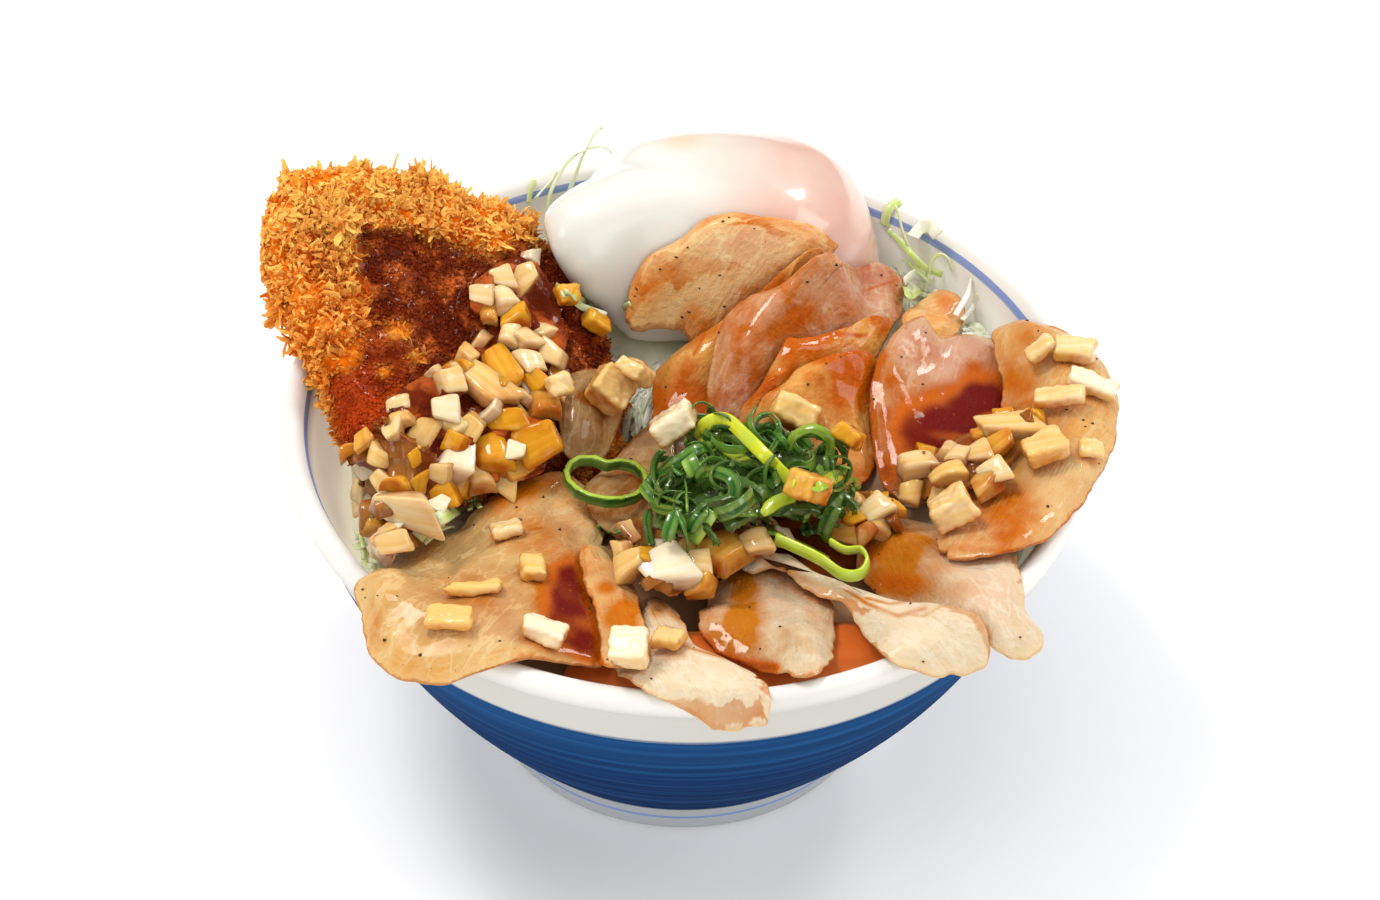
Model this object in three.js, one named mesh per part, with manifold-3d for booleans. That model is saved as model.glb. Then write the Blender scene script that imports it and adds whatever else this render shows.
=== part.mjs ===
// A bowl of pork cutlet and roast pork on rice: a deep glazed bowl, rice, shredded cabbage, a breaded
// cutlet, a soft egg, a fan of thin roast pork slices, diced onion, sliced scallion and sauce.
// Millimetres, +Z up. The foot stands on z = 0 and the origin lies under the middle of the whole.
import * as THREE from 'three';
import { mergeVertices } from 'three/addons/utils/BufferGeometryUtils.js';
import Module from 'manifold-3d';

const wasm = await Module();
wasm.setup();

// Driving dimensions.
const rimRadius = 90;
const rimHeight = 90;
const footRadius = 46;
const wallThickness = 5.5;
const bowlAxis = [0.3, 2.1];
const touchGap = 0.35;
const riceLevel = 58;
const sauceLevelFront = 83;
const sauceLevelMiddle = 78.5;
const cutletThickness = 15;
const eggTop = 113;
const eggMiddle = [4, 53];
const onionScale = 0.8;
const heartRadius = 8.4;
const scallionWall = 1.1;

// Finishes of the pieces.
const looks = {
  glaze: { color: 0xe4e7ea, roughness: 0.16, metalness: 0 },
  rice: { color: 0xf3efe4, roughness: 0.6, metalness: 0 },
  cabbage: { color: 0xdde9b4, roughness: 0.45, metalness: 0 },
  crust: { color: 0xd98a2b, roughness: 0.85, metalness: 0 },
  egg: { color: 0xf4ece6, roughness: 0.25, metalness: 0 },
  pork: { color: 0xd3a07a, roughness: 0.4, metalness: 0 },
  palePork: { color: 0xe8cda6, roughness: 0.45, metalness: 0 },
  pinkPork: { color: 0xd69d8a, roughness: 0.4, metalness: 0 },
  onion: { color: 0xe8d7a4, roughness: 0.3, metalness: 0 },
  scallion: { color: 0x3c8a34, roughness: 0.35, metalness: 0 },
  youngScallion: { color: 0x77b22e, roughness: 0.35, metalness: 0 },
  sauce: { color: 0x8c3c14, roughness: 0.1, metalness: 0 },
};

const serving = new THREE.Group();
const placed = [];

// Height map of all that lies in the bowl so far, one cell a millimetre.
const reach = 116;
const span = 2 * reach + 1;
const tops = new Float64Array(span * span);

// A repeatable scatter between 0 and 1.
function scatter(index, salt = 0) {
  const value = Math.sin(index * 12.9898 + salt * 78.233) * 43758.5453;
  return value - Math.floor(value);
}

// A smooth uneven wave over the plan, between about -1 and 1.
function ripple(x, y, length, salt = 0) {
  const k = 2 * Math.PI / length;
  const first = Math.sin(k * x + 1.7 * salt + 1.3 * Math.sin(k * 0.6 * y + salt));
  const second = Math.sin(k * 0.83 * y + 2.9 * salt + 1.1 * Math.sin(k * 0.7 * x - salt));
  return (first + second) / 2;
}

// A round hill of height 1.
function hill(x, y, middleX, middleY, wideX, wideY) {
  return Math.exp(-(((x - middleX) / wideX) ** 2) - (((y - middleY) / wideY) ** 2));
}

// Visits each cell whose middle lies in a triangle, with the weights of its corners.
function eachCell(a, b, c, visit) {
  const area = (b.x - a.x) * (c.y - a.y) - (c.x - a.x) * (b.y - a.y);
  if (Math.abs(area) < 1e-6) return;
  const firstX = Math.max(-reach, Math.ceil(Math.min(a.x, b.x, c.x)));
  const lastX = Math.min(reach, Math.floor(Math.max(a.x, b.x, c.x)));
  const firstY = Math.max(-reach, Math.ceil(Math.min(a.y, b.y, c.y)));
  const lastY = Math.min(reach, Math.floor(Math.max(a.y, b.y, c.y)));
  for (let y = firstY; y <= lastY; y++) {
    for (let x = firstX; x <= lastX; x++) {
      const shareA = ((b.x - x) * (c.y - y) - (c.x - x) * (b.y - y)) / area;
      const shareB = ((c.x - x) * (a.y - y) - (a.x - x) * (c.y - y)) / area;
      const shareC = 1 - shareA - shareB;
      if (Math.min(shareA, shareB, shareC) < -1e-6) continue;
      visit((y + reach) * span + x + reach, shareA, shareB, shareC);
    }
  }
}

// Runs a row filter along both directions of a map.
function filterMap(map, radius, pick) {
  const pass = (source, stepAcross, stepAlong) => {
    const result = new Float64Array(source.length);
    for (let row = 0; row < span; row++) {
      for (let i = 0; i < span; i++) {
        const from = Math.max(0, i - radius);
        const to = Math.min(span - 1, i + radius);
        result[row * stepAcross + i * stepAlong] = pick(source, row * stepAcross, stepAlong, from, to);
      }
    }
    return result;
  };
  return pass(pass(map, span, 1), 1, span);
}

// Each cell takes the highest value near it.
function spread(map, radius) {
  return filterMap(map, radius, (source, start, step, from, to) => {
    let best = -Infinity;
    for (let i = from; i <= to; i++) best = Math.max(best, source[start + i * step]);
    return best;
  });
}

// Each cell takes the mean of the values near it.
function soften(map, radius) {
  return filterMap(map, radius, (source, start, step, from, to) => {
    let sum = 0;
    for (let i = from; i <= to; i++) sum += source[start + i * step];
    return sum / (to - from + 1);
  });
}

// The height of a map between its cells.
function heightOn(map, x, y) {
  const u = Math.min(span - 1.001, Math.max(0, x + reach));
  const v = Math.min(span - 1.001, Math.max(0, y + reach));
  const i = Math.floor(u);
  const j = Math.floor(v);
  const s = u - i;
  const t = v - j;
  const at = j * span + i;
  const near = map[at] * (1 - s) + map[at + 1] * s;
  const far = map[at + span] * (1 - s) + map[at + span + 1] * s;
  return near * (1 - t) + far * t;
}

// What a limp thing lies on: the pile, and past the rim the slope that it hangs along.
function lyingMap(stiffness, droop, spreadBy) {
  const map = Float64Array.from(tops);
  for (let j = 0; j < span; j++) {
    for (let i = 0; i < span; i++) {
      const past = Math.hypot(i - reach, j - reach) - rimRadius;
      const slope = rimHeight - Math.max(0, past) * droop;
      if (past > -3) map[j * span + i] = Math.max(map[j * span + i], slope);
    }
  }
  return soften(soften(spread(map, spreadBy), stiffness), stiffness);
}

function trianglesOf(geometry) {
  const position = geometry.attributes.position;
  const index = geometry.index;
  const corner = (i) => new THREE.Vector3().fromBufferAttribute(position, index.getX(i));
  const list = [];
  for (let i = 0; i < index.count; i += 3) list.push([corner(i), corner(i + 1), corner(i + 2)]);
  return list;
}

// Writes a piece's upper faces into the height map.
function stamp(geometry) {
  for (const [a, b, c] of trianglesOf(geometry)) {
    eachCell(a, b, c, (at, shareA, shareB, shareC) => {
      tops[at] = Math.max(tops[at], shareA * a.z + shareB * b.z + shareC * c.z);
    });
  }
}

function meshFrom(points, index) {
  const geometry = new THREE.BufferGeometry();
  const numbers = new Float32Array(points.flatMap((p) => [p.x, p.y, p.z]));
  geometry.setAttribute('position', new THREE.BufferAttribute(numbers, 3));
  geometry.setIndex(index);
  return geometry;
}

// Keeps only merged positions, so that the mesh is closed.
function welded(geometry) {
  geometry.deleteAttribute('normal');
  geometry.deleteAttribute('uv');
  return mergeVertices(geometry, 1e-4);
}

// Turns the faces of a closed mesh outwards.
function outward(geometry) {
  let volume = 0;
  for (const [a, b, c] of trianglesOf(geometry)) volume += a.dot(b.clone().cross(c));
  if (volume > 0) return geometry;
  const order = Array.from(geometry.index.array);
  for (let i = 0; i < order.length; i += 3) {
    const first = order[i];
    order[i] = order[i + 1];
    order[i + 1] = first;
  }
  geometry.setIndex(order);
  return geometry;
}

function solidOf(geometry) {
  return new wasm.Manifold(new wasm.Mesh({
    numProp: 3,
    vertProperties: new Float32Array(geometry.attributes.position.array),
    triVerts: new Uint32Array(geometry.index.array),
  }));
}

function geometryOf(solid) {
  const mesh = solid.getMesh();
  const points = [];
  for (let i = 0; i < mesh.vertProperties.length; i += mesh.numProp) {
    points.push(new THREE.Vector3().fromArray(mesh.vertProperties, i));
  }
  return meshFrom(points, Array.from(mesh.triVerts));
}

// Whether a piece cuts into any of the others.
function crosses(geometry, others) {
  geometry.computeBoundingBox();
  const near = others.filter((other) => geometry.boundingBox.intersectsBox(other.box));
  if (near.length === 0) return false;
  const solid = solidOf(geometry);
  return near.some((other) => solid.intersect(other.solid).getMesh().triVerts.length > 0);
}

// Adds a piece, raised in small steps while it cuts into what is there.
function add(name, geometry, look) {
  const step = 0.2;
  const most = 3;
  for (let raised = 0; raised < most && crosses(geometry, placed); raised += step) {
    geometry.translate(0, 0, step);
  }
  geometry.computeBoundingBox();
  const mesh = new THREE.Mesh(geometry, new THREE.MeshStandardMaterial(look));
  mesh.name = name;
  serving.add(mesh);
  placed.push({ name, solid: solidOf(geometry), box: geometry.boundingBox.clone() });
  stamp(geometry);
  return mesh;
}

// Evenly spaced points along a closed smooth outline, counter-clockwise from above.
function outlineOf(points, count) {
  const corners = points.map(([x, y]) => new THREE.Vector3(x, y, 0));
  const curve = new THREE.CatmullRomCurve3(corners, true, 'centripetal');
  const list = curve.getSpacedPoints(count).slice(0, count);
  return THREE.ShapeUtils.area(list) < 0 ? list.reverse() : list;
}

function nearestOn(spine, point) {
  const line = spine.map(([x, y]) => new THREE.Vector3(x, y, 0));
  let best = line[0];
  for (let i = 0; i + 1 < line.length; i++) {
    const part = new THREE.Line3(line[i], line[i + 1]);
    const found = part.closestPointToPoint(point, true, new THREE.Vector3());
    if (found.distanceTo(point) < best.distanceTo(point)) best = found;
  }
  return best;
}

// Rings from the outline inwards to the spine, which is one point or a short line.
function ringsOf(outline, spine, fractions) {
  return fractions.map((part) => outline.map((p) => nearestOn(spine, p).clone().lerp(p, part)));
}

// Fills a ring of points with triangles that face up.
function capTriangles(ring, start) {
  const flat = ring.map((p) => new THREE.Vector2(p.x, p.y));
  return THREE.ShapeUtils.triangulateShape(flat, []).map((face) => face.map((i) => start + i));
}

// Triangles between rings that go inwards, closed in the middle.
function sheetTriangles(rings) {
  const count = rings[0].length;
  const list = [];
  for (let k = 0; k + 1 < rings.length; k++) {
    for (let j = 0; j < count; j++) {
      const a = k * count + j;
      const b = k * count + (j + 1) % count;
      list.push([a, b, b + count], [a, b + count, a + count]);
    }
  }
  const last = rings.length - 1;
  return [...list, ...capTriangles(rings[last], last * count)];
}

// Closes a top and a bottom sheet of the same plan into one solid.
function closedSheet(top, bottom, triangles, edgeCount) {
  const index = [];
  for (const [a, b, c] of triangles) {
    index.push(a, b, c, top.length + a, top.length + c, top.length + b);
  }
  for (let j = 0; j < edgeCount; j++) {
    const k = (j + 1) % edgeCount;
    index.push(j, top.length + j, top.length + k, j, top.length + k, k);
  }
  return meshFrom([...top, ...bottom], index);
}

// Joins rings that run from the middle of the top, over the edge, to the middle of the bottom.
function closedRings(loops) {
  const count = loops[0].length;
  const index = [];
  for (let k = 0; k + 1 < loops.length; k++) {
    for (let j = 0; j < count; j++) {
      const a = k * count + j;
      const b = k * count + (j + 1) % count;
      index.push(a, a + count, b, b, a + count, b + count);
    }
  }
  const last = (loops.length - 1) * count;
  for (const face of capTriangles(loops[0], 0)) index.push(...face);
  for (const [a, b, c] of capTriangles(loops[loops.length - 1], last)) index.push(a, c, b);
  return meshFrom(loops.flat(), index);
}

// Raises the corners of a sheet until it clears the pile in every cell that it covers.
function settle(points, triangles, gap) {
  const guard = spread(tops, 1);
  for (let round = 0; round < 40; round++) {
    const raise = new Float64Array(points.length);
    let worst = 0;
    for (const face of triangles) {
      const [a, b, c] = face.map((i) => points[i]);
      eachCell(a, b, c, (at, shareA, shareB, shareC) => {
        const short = guard[at] + gap - (shareA * a.z + shareB * b.z + shareC * c.z);
        if (short <= 0) return;
        worst = Math.max(worst, short);
        const whole = shareA * shareA + shareB * shareB + shareC * shareC;
        [shareA, shareB, shareC].forEach((share, i) => {
          raise[face[i]] = Math.max(raise[face[i]], short * Math.max(0, share) / whole);
        });
      });
    }
    if (worst < 0.02) return;
    points.forEach((p, i) => {
      p.z += raise[i];
    });
  }
}

// Lifts what sags between its neighbours, as a limp slice bridges small dips. The edge stays.
function bridge(points, triangles, edgeCount) {
  const beside = points.map(() => new Set());
  for (const [a, b, c] of triangles) {
    beside[a].add(b).add(c);
    beside[b].add(a).add(c);
    beside[c].add(a).add(b);
  }
  for (let round = 0; round < 12; round++) {
    const level = points.map((p, i) => {
      const near = [...beside[i]];
      return near.reduce((sum, k) => sum + points[k].z, 0) / near.length;
    });
    for (let i = edgeCount; i < points.length; i++) {
      points[i].z += Math.max(0, level[i] - points[i].z) * 0.6;
    }
  }
}

// How much taller a slope has to be, upright, to keep its thickness.
function slopeFactors(points, triangles) {
  const normals = points.map(() => new THREE.Vector3());
  for (const [a, b, c] of triangles) {
    const ab = points[b].clone().sub(points[a]);
    const ac = points[c].clone().sub(points[a]);
    for (const i of [a, b, c]) normals[i].add(ab.clone().cross(ac));
  }
  return normals.map((n) => 1 / Math.max(0.4, n.z / (n.length() || 1)));
}

// A thin limp sheet laid over the pile.
function layOver(plan) {
  const { stiffness = 4, droop = 0.5, spreadBy = 2, wave = 0.5, fractions = [1, 0.7, 0.36] } = plan;
  const waveLength = 17;
  const edgeShare = 0.75;
  const outline = outlineOf(plan.outline, plan.sides);
  const rings = ringsOf(outline, plan.spine, fractions);
  const triangles = sheetTriangles(rings);
  const map = lyingMap(stiffness, droop, spreadBy);
  const bottom = rings.flat().map((p) => {
    const lie = heightOn(map, p.x, p.y) + touchGap - 0.6;
    return new THREE.Vector3(p.x, p.y, lie + wave * ripple(p.x, p.y, waveLength, plan.salt ?? 0));
  });
  settle(bottom, triangles, touchGap);
  bridge(bottom, triangles, outline.length);
  const factors = slopeFactors(bottom, triangles);
  const top = bottom.map((p, i) => {
    const share = i < outline.length ? edgeShare : 1;
    return new THREE.Vector3(p.x, p.y, p.z + plan.thickness * factors[i] * share);
  });
  return closedSheet(top, bottom, triangles, outline.length);
}

// A sauce pool: level above, and below it follows what it lies on.
function poolOver(outlinePoints, spine, level) {
  const sides = 14;
  const rings = ringsOf(outlineOf(outlinePoints, sides), spine, [1, 0.5]);
  const triangles = sheetTriangles(rings);
  const bottom = rings.flat().map((p) => new THREE.Vector3(p.x, p.y, heightOn(tops, p.x, p.y)));
  settle(bottom, triangles, touchGap);
  const top = bottom.map((p) => new THREE.Vector3(p.x, p.y, Math.max(level, p.z + 0.5)));
  return closedSheet(top, bottom, triangles, sides);
}

// A dice of onion, a little out of square.
function onionDice(length, width, height, salt) {
  const geometry = welded(new THREE.BoxGeometry(length, width, height));
  const p = geometry.attributes.position;
  for (let i = 0; i < p.count; i++) {
    p.setXYZ(i,
      p.getX(i) * (0.84 + 0.28 * scatter(i, salt)),
      p.getY(i) * (0.84 + 0.28 * scatter(i, salt + 1)),
      p.getZ(i) * (0.9 + 0.2 * scatter(i, salt + 2)));
  }
  return geometry;
}

// Turns a piece to the slope below it and sets it down, or sinks it in by a depth.
function setDown(geometry, x, y, turn, tilt, sunk) {
  const step = 3;
  const limit = (v) => Math.max(-0.8, Math.min(0.8, v));
  const slopeX = (heightOn(tops, x + step, y) - heightOn(tops, x - step, y)) / (2 * step);
  const slopeY = (heightOn(tops, x, y + step) - heightOn(tops, x, y - step)) / (2 * step);
  const up = new THREE.Vector3(tilt[0] - limit(slopeX), tilt[1] - limit(slopeY), 1).normalize();
  const lean = new THREE.Quaternion().setFromUnitVectors(new THREE.Vector3(0, 0, 1), up);
  geometry.rotateZ(THREE.MathUtils.degToRad(turn));
  geometry.applyQuaternion(lean);
  geometry.translate(x, y, 0);
  const lowest = new Map();
  for (const [a, b, c] of trianglesOf(geometry)) {
    eachCell(a, b, c, (at, shareA, shareB, shareC) => {
      const z = shareA * a.z + shareB * b.z + shareC * c.z;
      lowest.set(at, Math.min(lowest.get(at) ?? Infinity, z));
    });
  }
  let lift = -Infinity;
  for (const [at, z] of lowest) lift = Math.max(lift, tops[at] - z);
  geometry.translate(0, 0, lift + touchGap - sunk);
  return geometry;
}

// A strip of box section along points, its width lying along the given side.
function stripAlong(points, side, width, thickness, isClosed = false) {
  const count = points.length;
  const corners = [];
  points.forEach((p, i) => {
    const before = isClosed ? points[(i + count - 1) % count] : points[Math.max(0, i - 1)];
    const after = isClosed ? points[(i + 1) % count] : points[Math.min(count - 1, i + 1)];
    const along = after.clone().sub(before).normalize();
    const across = side.clone().addScaledVector(along, -side.dot(along)).normalize();
    const out = along.clone().cross(across);
    for (const [u, v] of [[-1, -1], [1, -1], [1, 1], [-1, 1]]) {
      const corner = p.clone().addScaledVector(across, u * width / 2);
      corners.push(corner.addScaledVector(out, v * thickness / 2));
    }
  });
  const index = [];
  const steps = isClosed ? count : count - 1;
  for (let i = 0; i < steps; i++) {
    const a = i * 4;
    const b = ((i + 1) % count) * 4;
    for (let k = 0; k < 4; k++) {
      const m = (k + 1) % 4;
      index.push(a + k, a + m, b + m, a + k, b + m, b + k);
    }
  }
  if (!isClosed) {
    const end = (count - 1) * 4;
    index.push(0, 2, 1, 0, 3, 2, end, end + 1, end + 2, end, end + 2, end + 3);
  }
  return outward(meshFrom(corners, index));
}

// An arched strip: half its length, its rise and its heading in degrees.
function archedStrip(x, y, base, half, rise, heading, width, thickness, lean) {
  const steps = 4;
  const turn = THREE.MathUtils.degToRad(heading);
  const points = [...Array(steps + 1)].map((_, k) => {
    const t = (2 * k / steps - 1) * 1.5;
    const u = half * Math.sin(t);
    return new THREE.Vector3(x + u * Math.cos(turn), y + u * Math.sin(turn), base + rise * Math.cos(t));
  });
  const side = new THREE.Vector3(-Math.sin(turn), Math.cos(turn), lean);
  return stripAlong(points, side, width, thickness);
}

// Fuses pieces onto a core. A piece that would cut into a neighbour is raised, or left out.
function fuse(core, pieces, others) {
  const step = 0.3;
  const most = 1.5;
  let whole = solidOf(core);
  for (const piece of pieces) {
    for (let raised = 0; raised < most && crosses(piece, others); raised += step) {
      piece.translate(0, 0, step);
    }
    const solid = solidOf(piece);
    const isLoose = solid.intersect(whole).getMesh().triVerts.length === 0;
    if (!isLoose && !crosses(piece, others)) whole = whole.add(solid);
  }
  return geometryOf(whole);
}

// The bowl's wall, as radius and height: the foot, the outside, the rolled lip and the hollow.
const footOutline = [[footRadius - 5.5, 7], [footRadius - 4, 0], [footRadius, 0], [footRadius + 1, 5]];
const outerWall = [
  [48, 7.5], [50.5, 12], [59, 23.5], [67.5, 35.5], [75, 49], [80.5, 60.5], [84.2, 72], [86.2, 79.5],
];
const lipOutline = [
  [rimRadius - 1.4, rimHeight - 6.8], [rimRadius, rimHeight - 3.2], [rimRadius - 1.1, rimHeight - 0.4],
  [rimRadius - 3.4, rimHeight - 0.1], [rimRadius - 5.4, rimHeight - 2.6],
];
const hollowWall = [
  [88 - wallThickness, 79], [84.1 - wallThickness, 68.5], [78.5 - wallThickness, 56.5],
  [71 - wallThickness, 43.5], [61.5 - wallThickness, 30.5], [42, 19.5], [24, 14.8],
];

// How far the hollow's wall is from the axis at a height.
function hollowRadius(z) {
  const wall = [lipOutline[lipOutline.length - 1], ...hollowWall];
  for (let i = 0; i + 1 < wall.length; i++) {
    const [upperRadius, upperZ] = wall[i];
    const [lowerRadius, lowerZ] = wall[i + 1];
    const t = (z - lowerZ) / (upperZ - lowerZ);
    if (t >= 0 && t <= 1) return lowerRadius + (upperRadius - lowerRadius) * t;
  }
  return z > rimHeight / 2 ? wall[0][0] : hollowWall[hollowWall.length - 1][0];
}

function bowlShape() {
  const floorHeight = 14;
  const recessHeight = 7;
  const outside = [[0, recessHeight], ...footOutline, ...outerWall, ...lipOutline];
  const profile = [...outside, ...hollowWall, [0, floorHeight]];
  const points = profile.map(([r, z]) => new THREE.Vector2(r, z));
  const geometry = new THREE.LatheGeometry(points, 36);
  geometry.rotateX(Math.PI / 2);
  return outward(welded(geometry));
}

// The cutlet's plan and the plane of its top, which slopes down from the rim into the bowl.
const cutlet = {
  outline: [
    [-89.5, 49], [-96.5, 37], [-95.5, 22], [-91, 13.5], [-84, 5], [-79.5, -3], [-76, -12], [-60, -18],
    [-43, -15], [-27, -9], [-17, 4], [-15, 19], [-20.5, 33], [-28, 43.5], [-35.5, 52.5], [-48, 55.5],
    [-61, 57], [-76, 53],
  ],
  middle: [-57, 17],
  topAt: (x, y) => 108.4 - 0.36 * (x + 87.5) + 0.33 * (y - 18),
};

// How far a point of the plan is outside a closed outline, and 0 inside it.
function outside(outline, x, y) {
  let isInside = false;
  let nearest = Infinity;
  outline.forEach(([ax, ay], i) => {
    const [bx, by] = outline[(i + 1) % outline.length];
    if ((ay > y) !== (by > y) && x < (bx - ax) * (y - ay) / (by - ay) + ax) isInside = !isInside;
    const along = ((x - ax) * (bx - ax) + (y - ay) * (by - ay)) / ((bx - ax) ** 2 + (by - ay) ** 2);
    const t = Math.max(0, Math.min(1, along));
    nearest = Math.min(nearest, Math.hypot(x - ax - t * (bx - ax), y - ay - t * (by - ay)));
  });
  return isInside ? 0 : nearest;
}

// The cabbage bed's bare surface: high at the back right and along the front, low at the left wall,
// in the middle and under the cutlet.
function bedTop(x, y) {
  let z = 75;
  z += 7 * hill(x, y, 42, 34, 34, 30);
  z += 4 * hill(x, y, 62, -10, 30, 40);
  z += 5 * hill(x, y, 20, -72, 60, 18);
  z += 5 * hill(x, y, -48, -60, 34, 20);
  z -= 9 * hill(x, y, -72, -14, 30, 34);
  z -= 4 * hill(x, y, -30, 70, 50, 26);
  z -= 4 * hill(x, y, 70, 50, 24, 24);
  z -= 3 * hill(x, y, 6, -18, 22, 18);
  z += 0.7 * ripple(x, y, 13, 3);
  const under = cutlet.topAt(x, y) - cutletThickness - 2.1;
  return Math.min(z, under + 1.6 * Math.max(0, outside(cutlet.outline, x, y) - 2));
}

// A filling of the hollow between two surfaces, clear of the wall.
function layerBetween(topAt, bottomAt, topFractions, sideFractions) {
  const sides = 24;
  const wallGap = 1;
  const turn = 2 * Math.PI / sides;
  const ring = (surface, fraction) => [...Array(sides)].map((_, j) => {
    const across = Math.cos(j * turn);
    const up = Math.sin(j * turn);
    let radius = 70;
    for (let k = 0; k < 8; k++) radius = hollowRadius(surface(radius * across, radius * up)) - wallGap;
    const x = fraction * radius * across;
    const y = fraction * radius * up;
    return new THREE.Vector3(x, y, surface(x, y));
  });
  const edge = ring(topAt, 1);
  const foot = ring(bottomAt, 1);
  const wallRings = sideFractions.map((t) => edge.map((p, j) => {
    const z = p.z + (foot[j].z - p.z) * t;
    const radius = hollowRadius(z) - wallGap;
    return new THREE.Vector3(radius * Math.cos(j * turn), radius * Math.sin(j * turn), z);
  }));
  const inner = topFractions.map((fraction) => ring(topAt, fraction));
  return closedRings([...inner, edge, ...wallRings, foot, ring(bottomAt, 0.5)]);
}

// A slab with a craggy crust: its loops run from the middle of the top over the side to the underside.
function cutletShape() {
  const outline = outlineOf(cutlet.outline, 38);
  const [middleX, middleY] = cutlet.middle;
  const crag = (x, y) => 1.1 * ripple(x, y, 9, 5) + 0.8 * ripple(x, y, 5.3, 9)
    + 2.2 * hill(x, y, -84, 30, 8, 16) + 1.6 * hill(x, y, -60, 44, 16, 5) - 2 * hill(x, y, -72, 14, 6, 18);
  const loop = (fraction, drop, rough) => outline.map((p, j) => {
    const part = fraction * (1 + 0.018 * rough * Math.sin(j * 2.1 + drop));
    const x = middleX + (p.x - middleX) * part;
    const y = middleY + (p.y - middleY) * part;
    return new THREE.Vector3(x, y, cutlet.topAt(x, y) - drop + rough * crag(x, y));
  });
  return closedRings([
    ...[0.12, 0.3, 0.5, 0.68, 0.84].map((fraction) => loop(fraction, 0, 1)),
    loop(0.93, 2.2, 0.8),
    loop(1, 6, 0.8),
    loop(1, 11, 0.8),
    loop(0.9, cutletThickness, 0),
    loop(0.5, cutletThickness, 0),
  ]);
}

// The egg is a soft mound whose underside lies on the cutlet and the cabbage.
const eggOutline = [
  [-34, 53.5], [-34.5, 45], [-31, 37.5], [-21, 34.5], [-6, 35], [10, 34], [24, 35], [36, 42], [43, 52],
  [44.5, 62], [40, 73], [30, 81], [16, 85], [2, 86], [-12, 82], [-25, 73.5], [-32, 62.5],
];

function eggShape() {
  const outline = outlineOf(eggOutline, 26);
  const edgeHeight = 3.4;
  const undersideRings = ringsOf(outline, [eggMiddle], [0.96, 0.8, 0.45]);
  const triangles = sheetTriangles(undersideRings);
  const map = lyingMap(5, 0.3, 2);
  const underside = undersideRings.flat().map((p) => new THREE.Vector3(p.x, p.y, heightOn(map, p.x, p.y)));
  settle(underside, triangles, 0.4);
  const dome = [0.28, 0.55, 0.78, 0.93, 1].map((fraction) => outline.map((p, j) => {
    const low = underside[j].z + edgeHeight;
    const swell = Math.sqrt(Math.max(0, 1 - fraction ** 2.3));
    const x = eggMiddle[0] + (p.x - eggMiddle[0]) * fraction;
    const y = eggMiddle[1] + (p.y - eggMiddle[1]) * fraction;
    return new THREE.Vector3(x, y, low + (eggTop - low) * swell);
  }));
  const count = outline.length;
  const lower = [0, 1, 2].map((k) => underside.slice(k * count, (k + 1) * count));
  return closedRings([...dome, ...lower]);
}

add('bowl', bowlShape(), looks.glaze);
add('rice', layerBetween(() => riceLevel, () => 16, [0.5], [0.5]), looks.rice);
const cabbageCore = layerBetween(bedTop, () => riceLevel + 0.5, [0.25, 0.5, 0.7, 0.86], [0.5]);
const cabbageMesh = add('cabbage', cabbageCore, looks.cabbage);
const bedMap = Float64Array.from(tops);
add('cutlet', cutletShape(), looks.crust);
add('egg', eggShape(), looks.egg);

const frontPool = [
  [-24, -77], [-12, -80], [4, -81], [20, -78.5], [36, -72.5], [46, -66.5], [44, -56], [26, -58], [4, -60],
  [-16, -62],
];
const middlePool = [
  [-8, -30], [-4, -42], [8, -48], [24, -46], [38, -36], [42, -26], [36, -16], [20, -12], [4, -14], [-6, -20],
];
add('sauce_front', poolOver(frontPool, [[-4, -71], [30, -66]], sauceLevelFront), looks.sauce);
add('sauce_middle', poolOver(middlePool, [[6, -30], [26, -29]], sauceLevelMiddle), looks.sauce);

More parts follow.
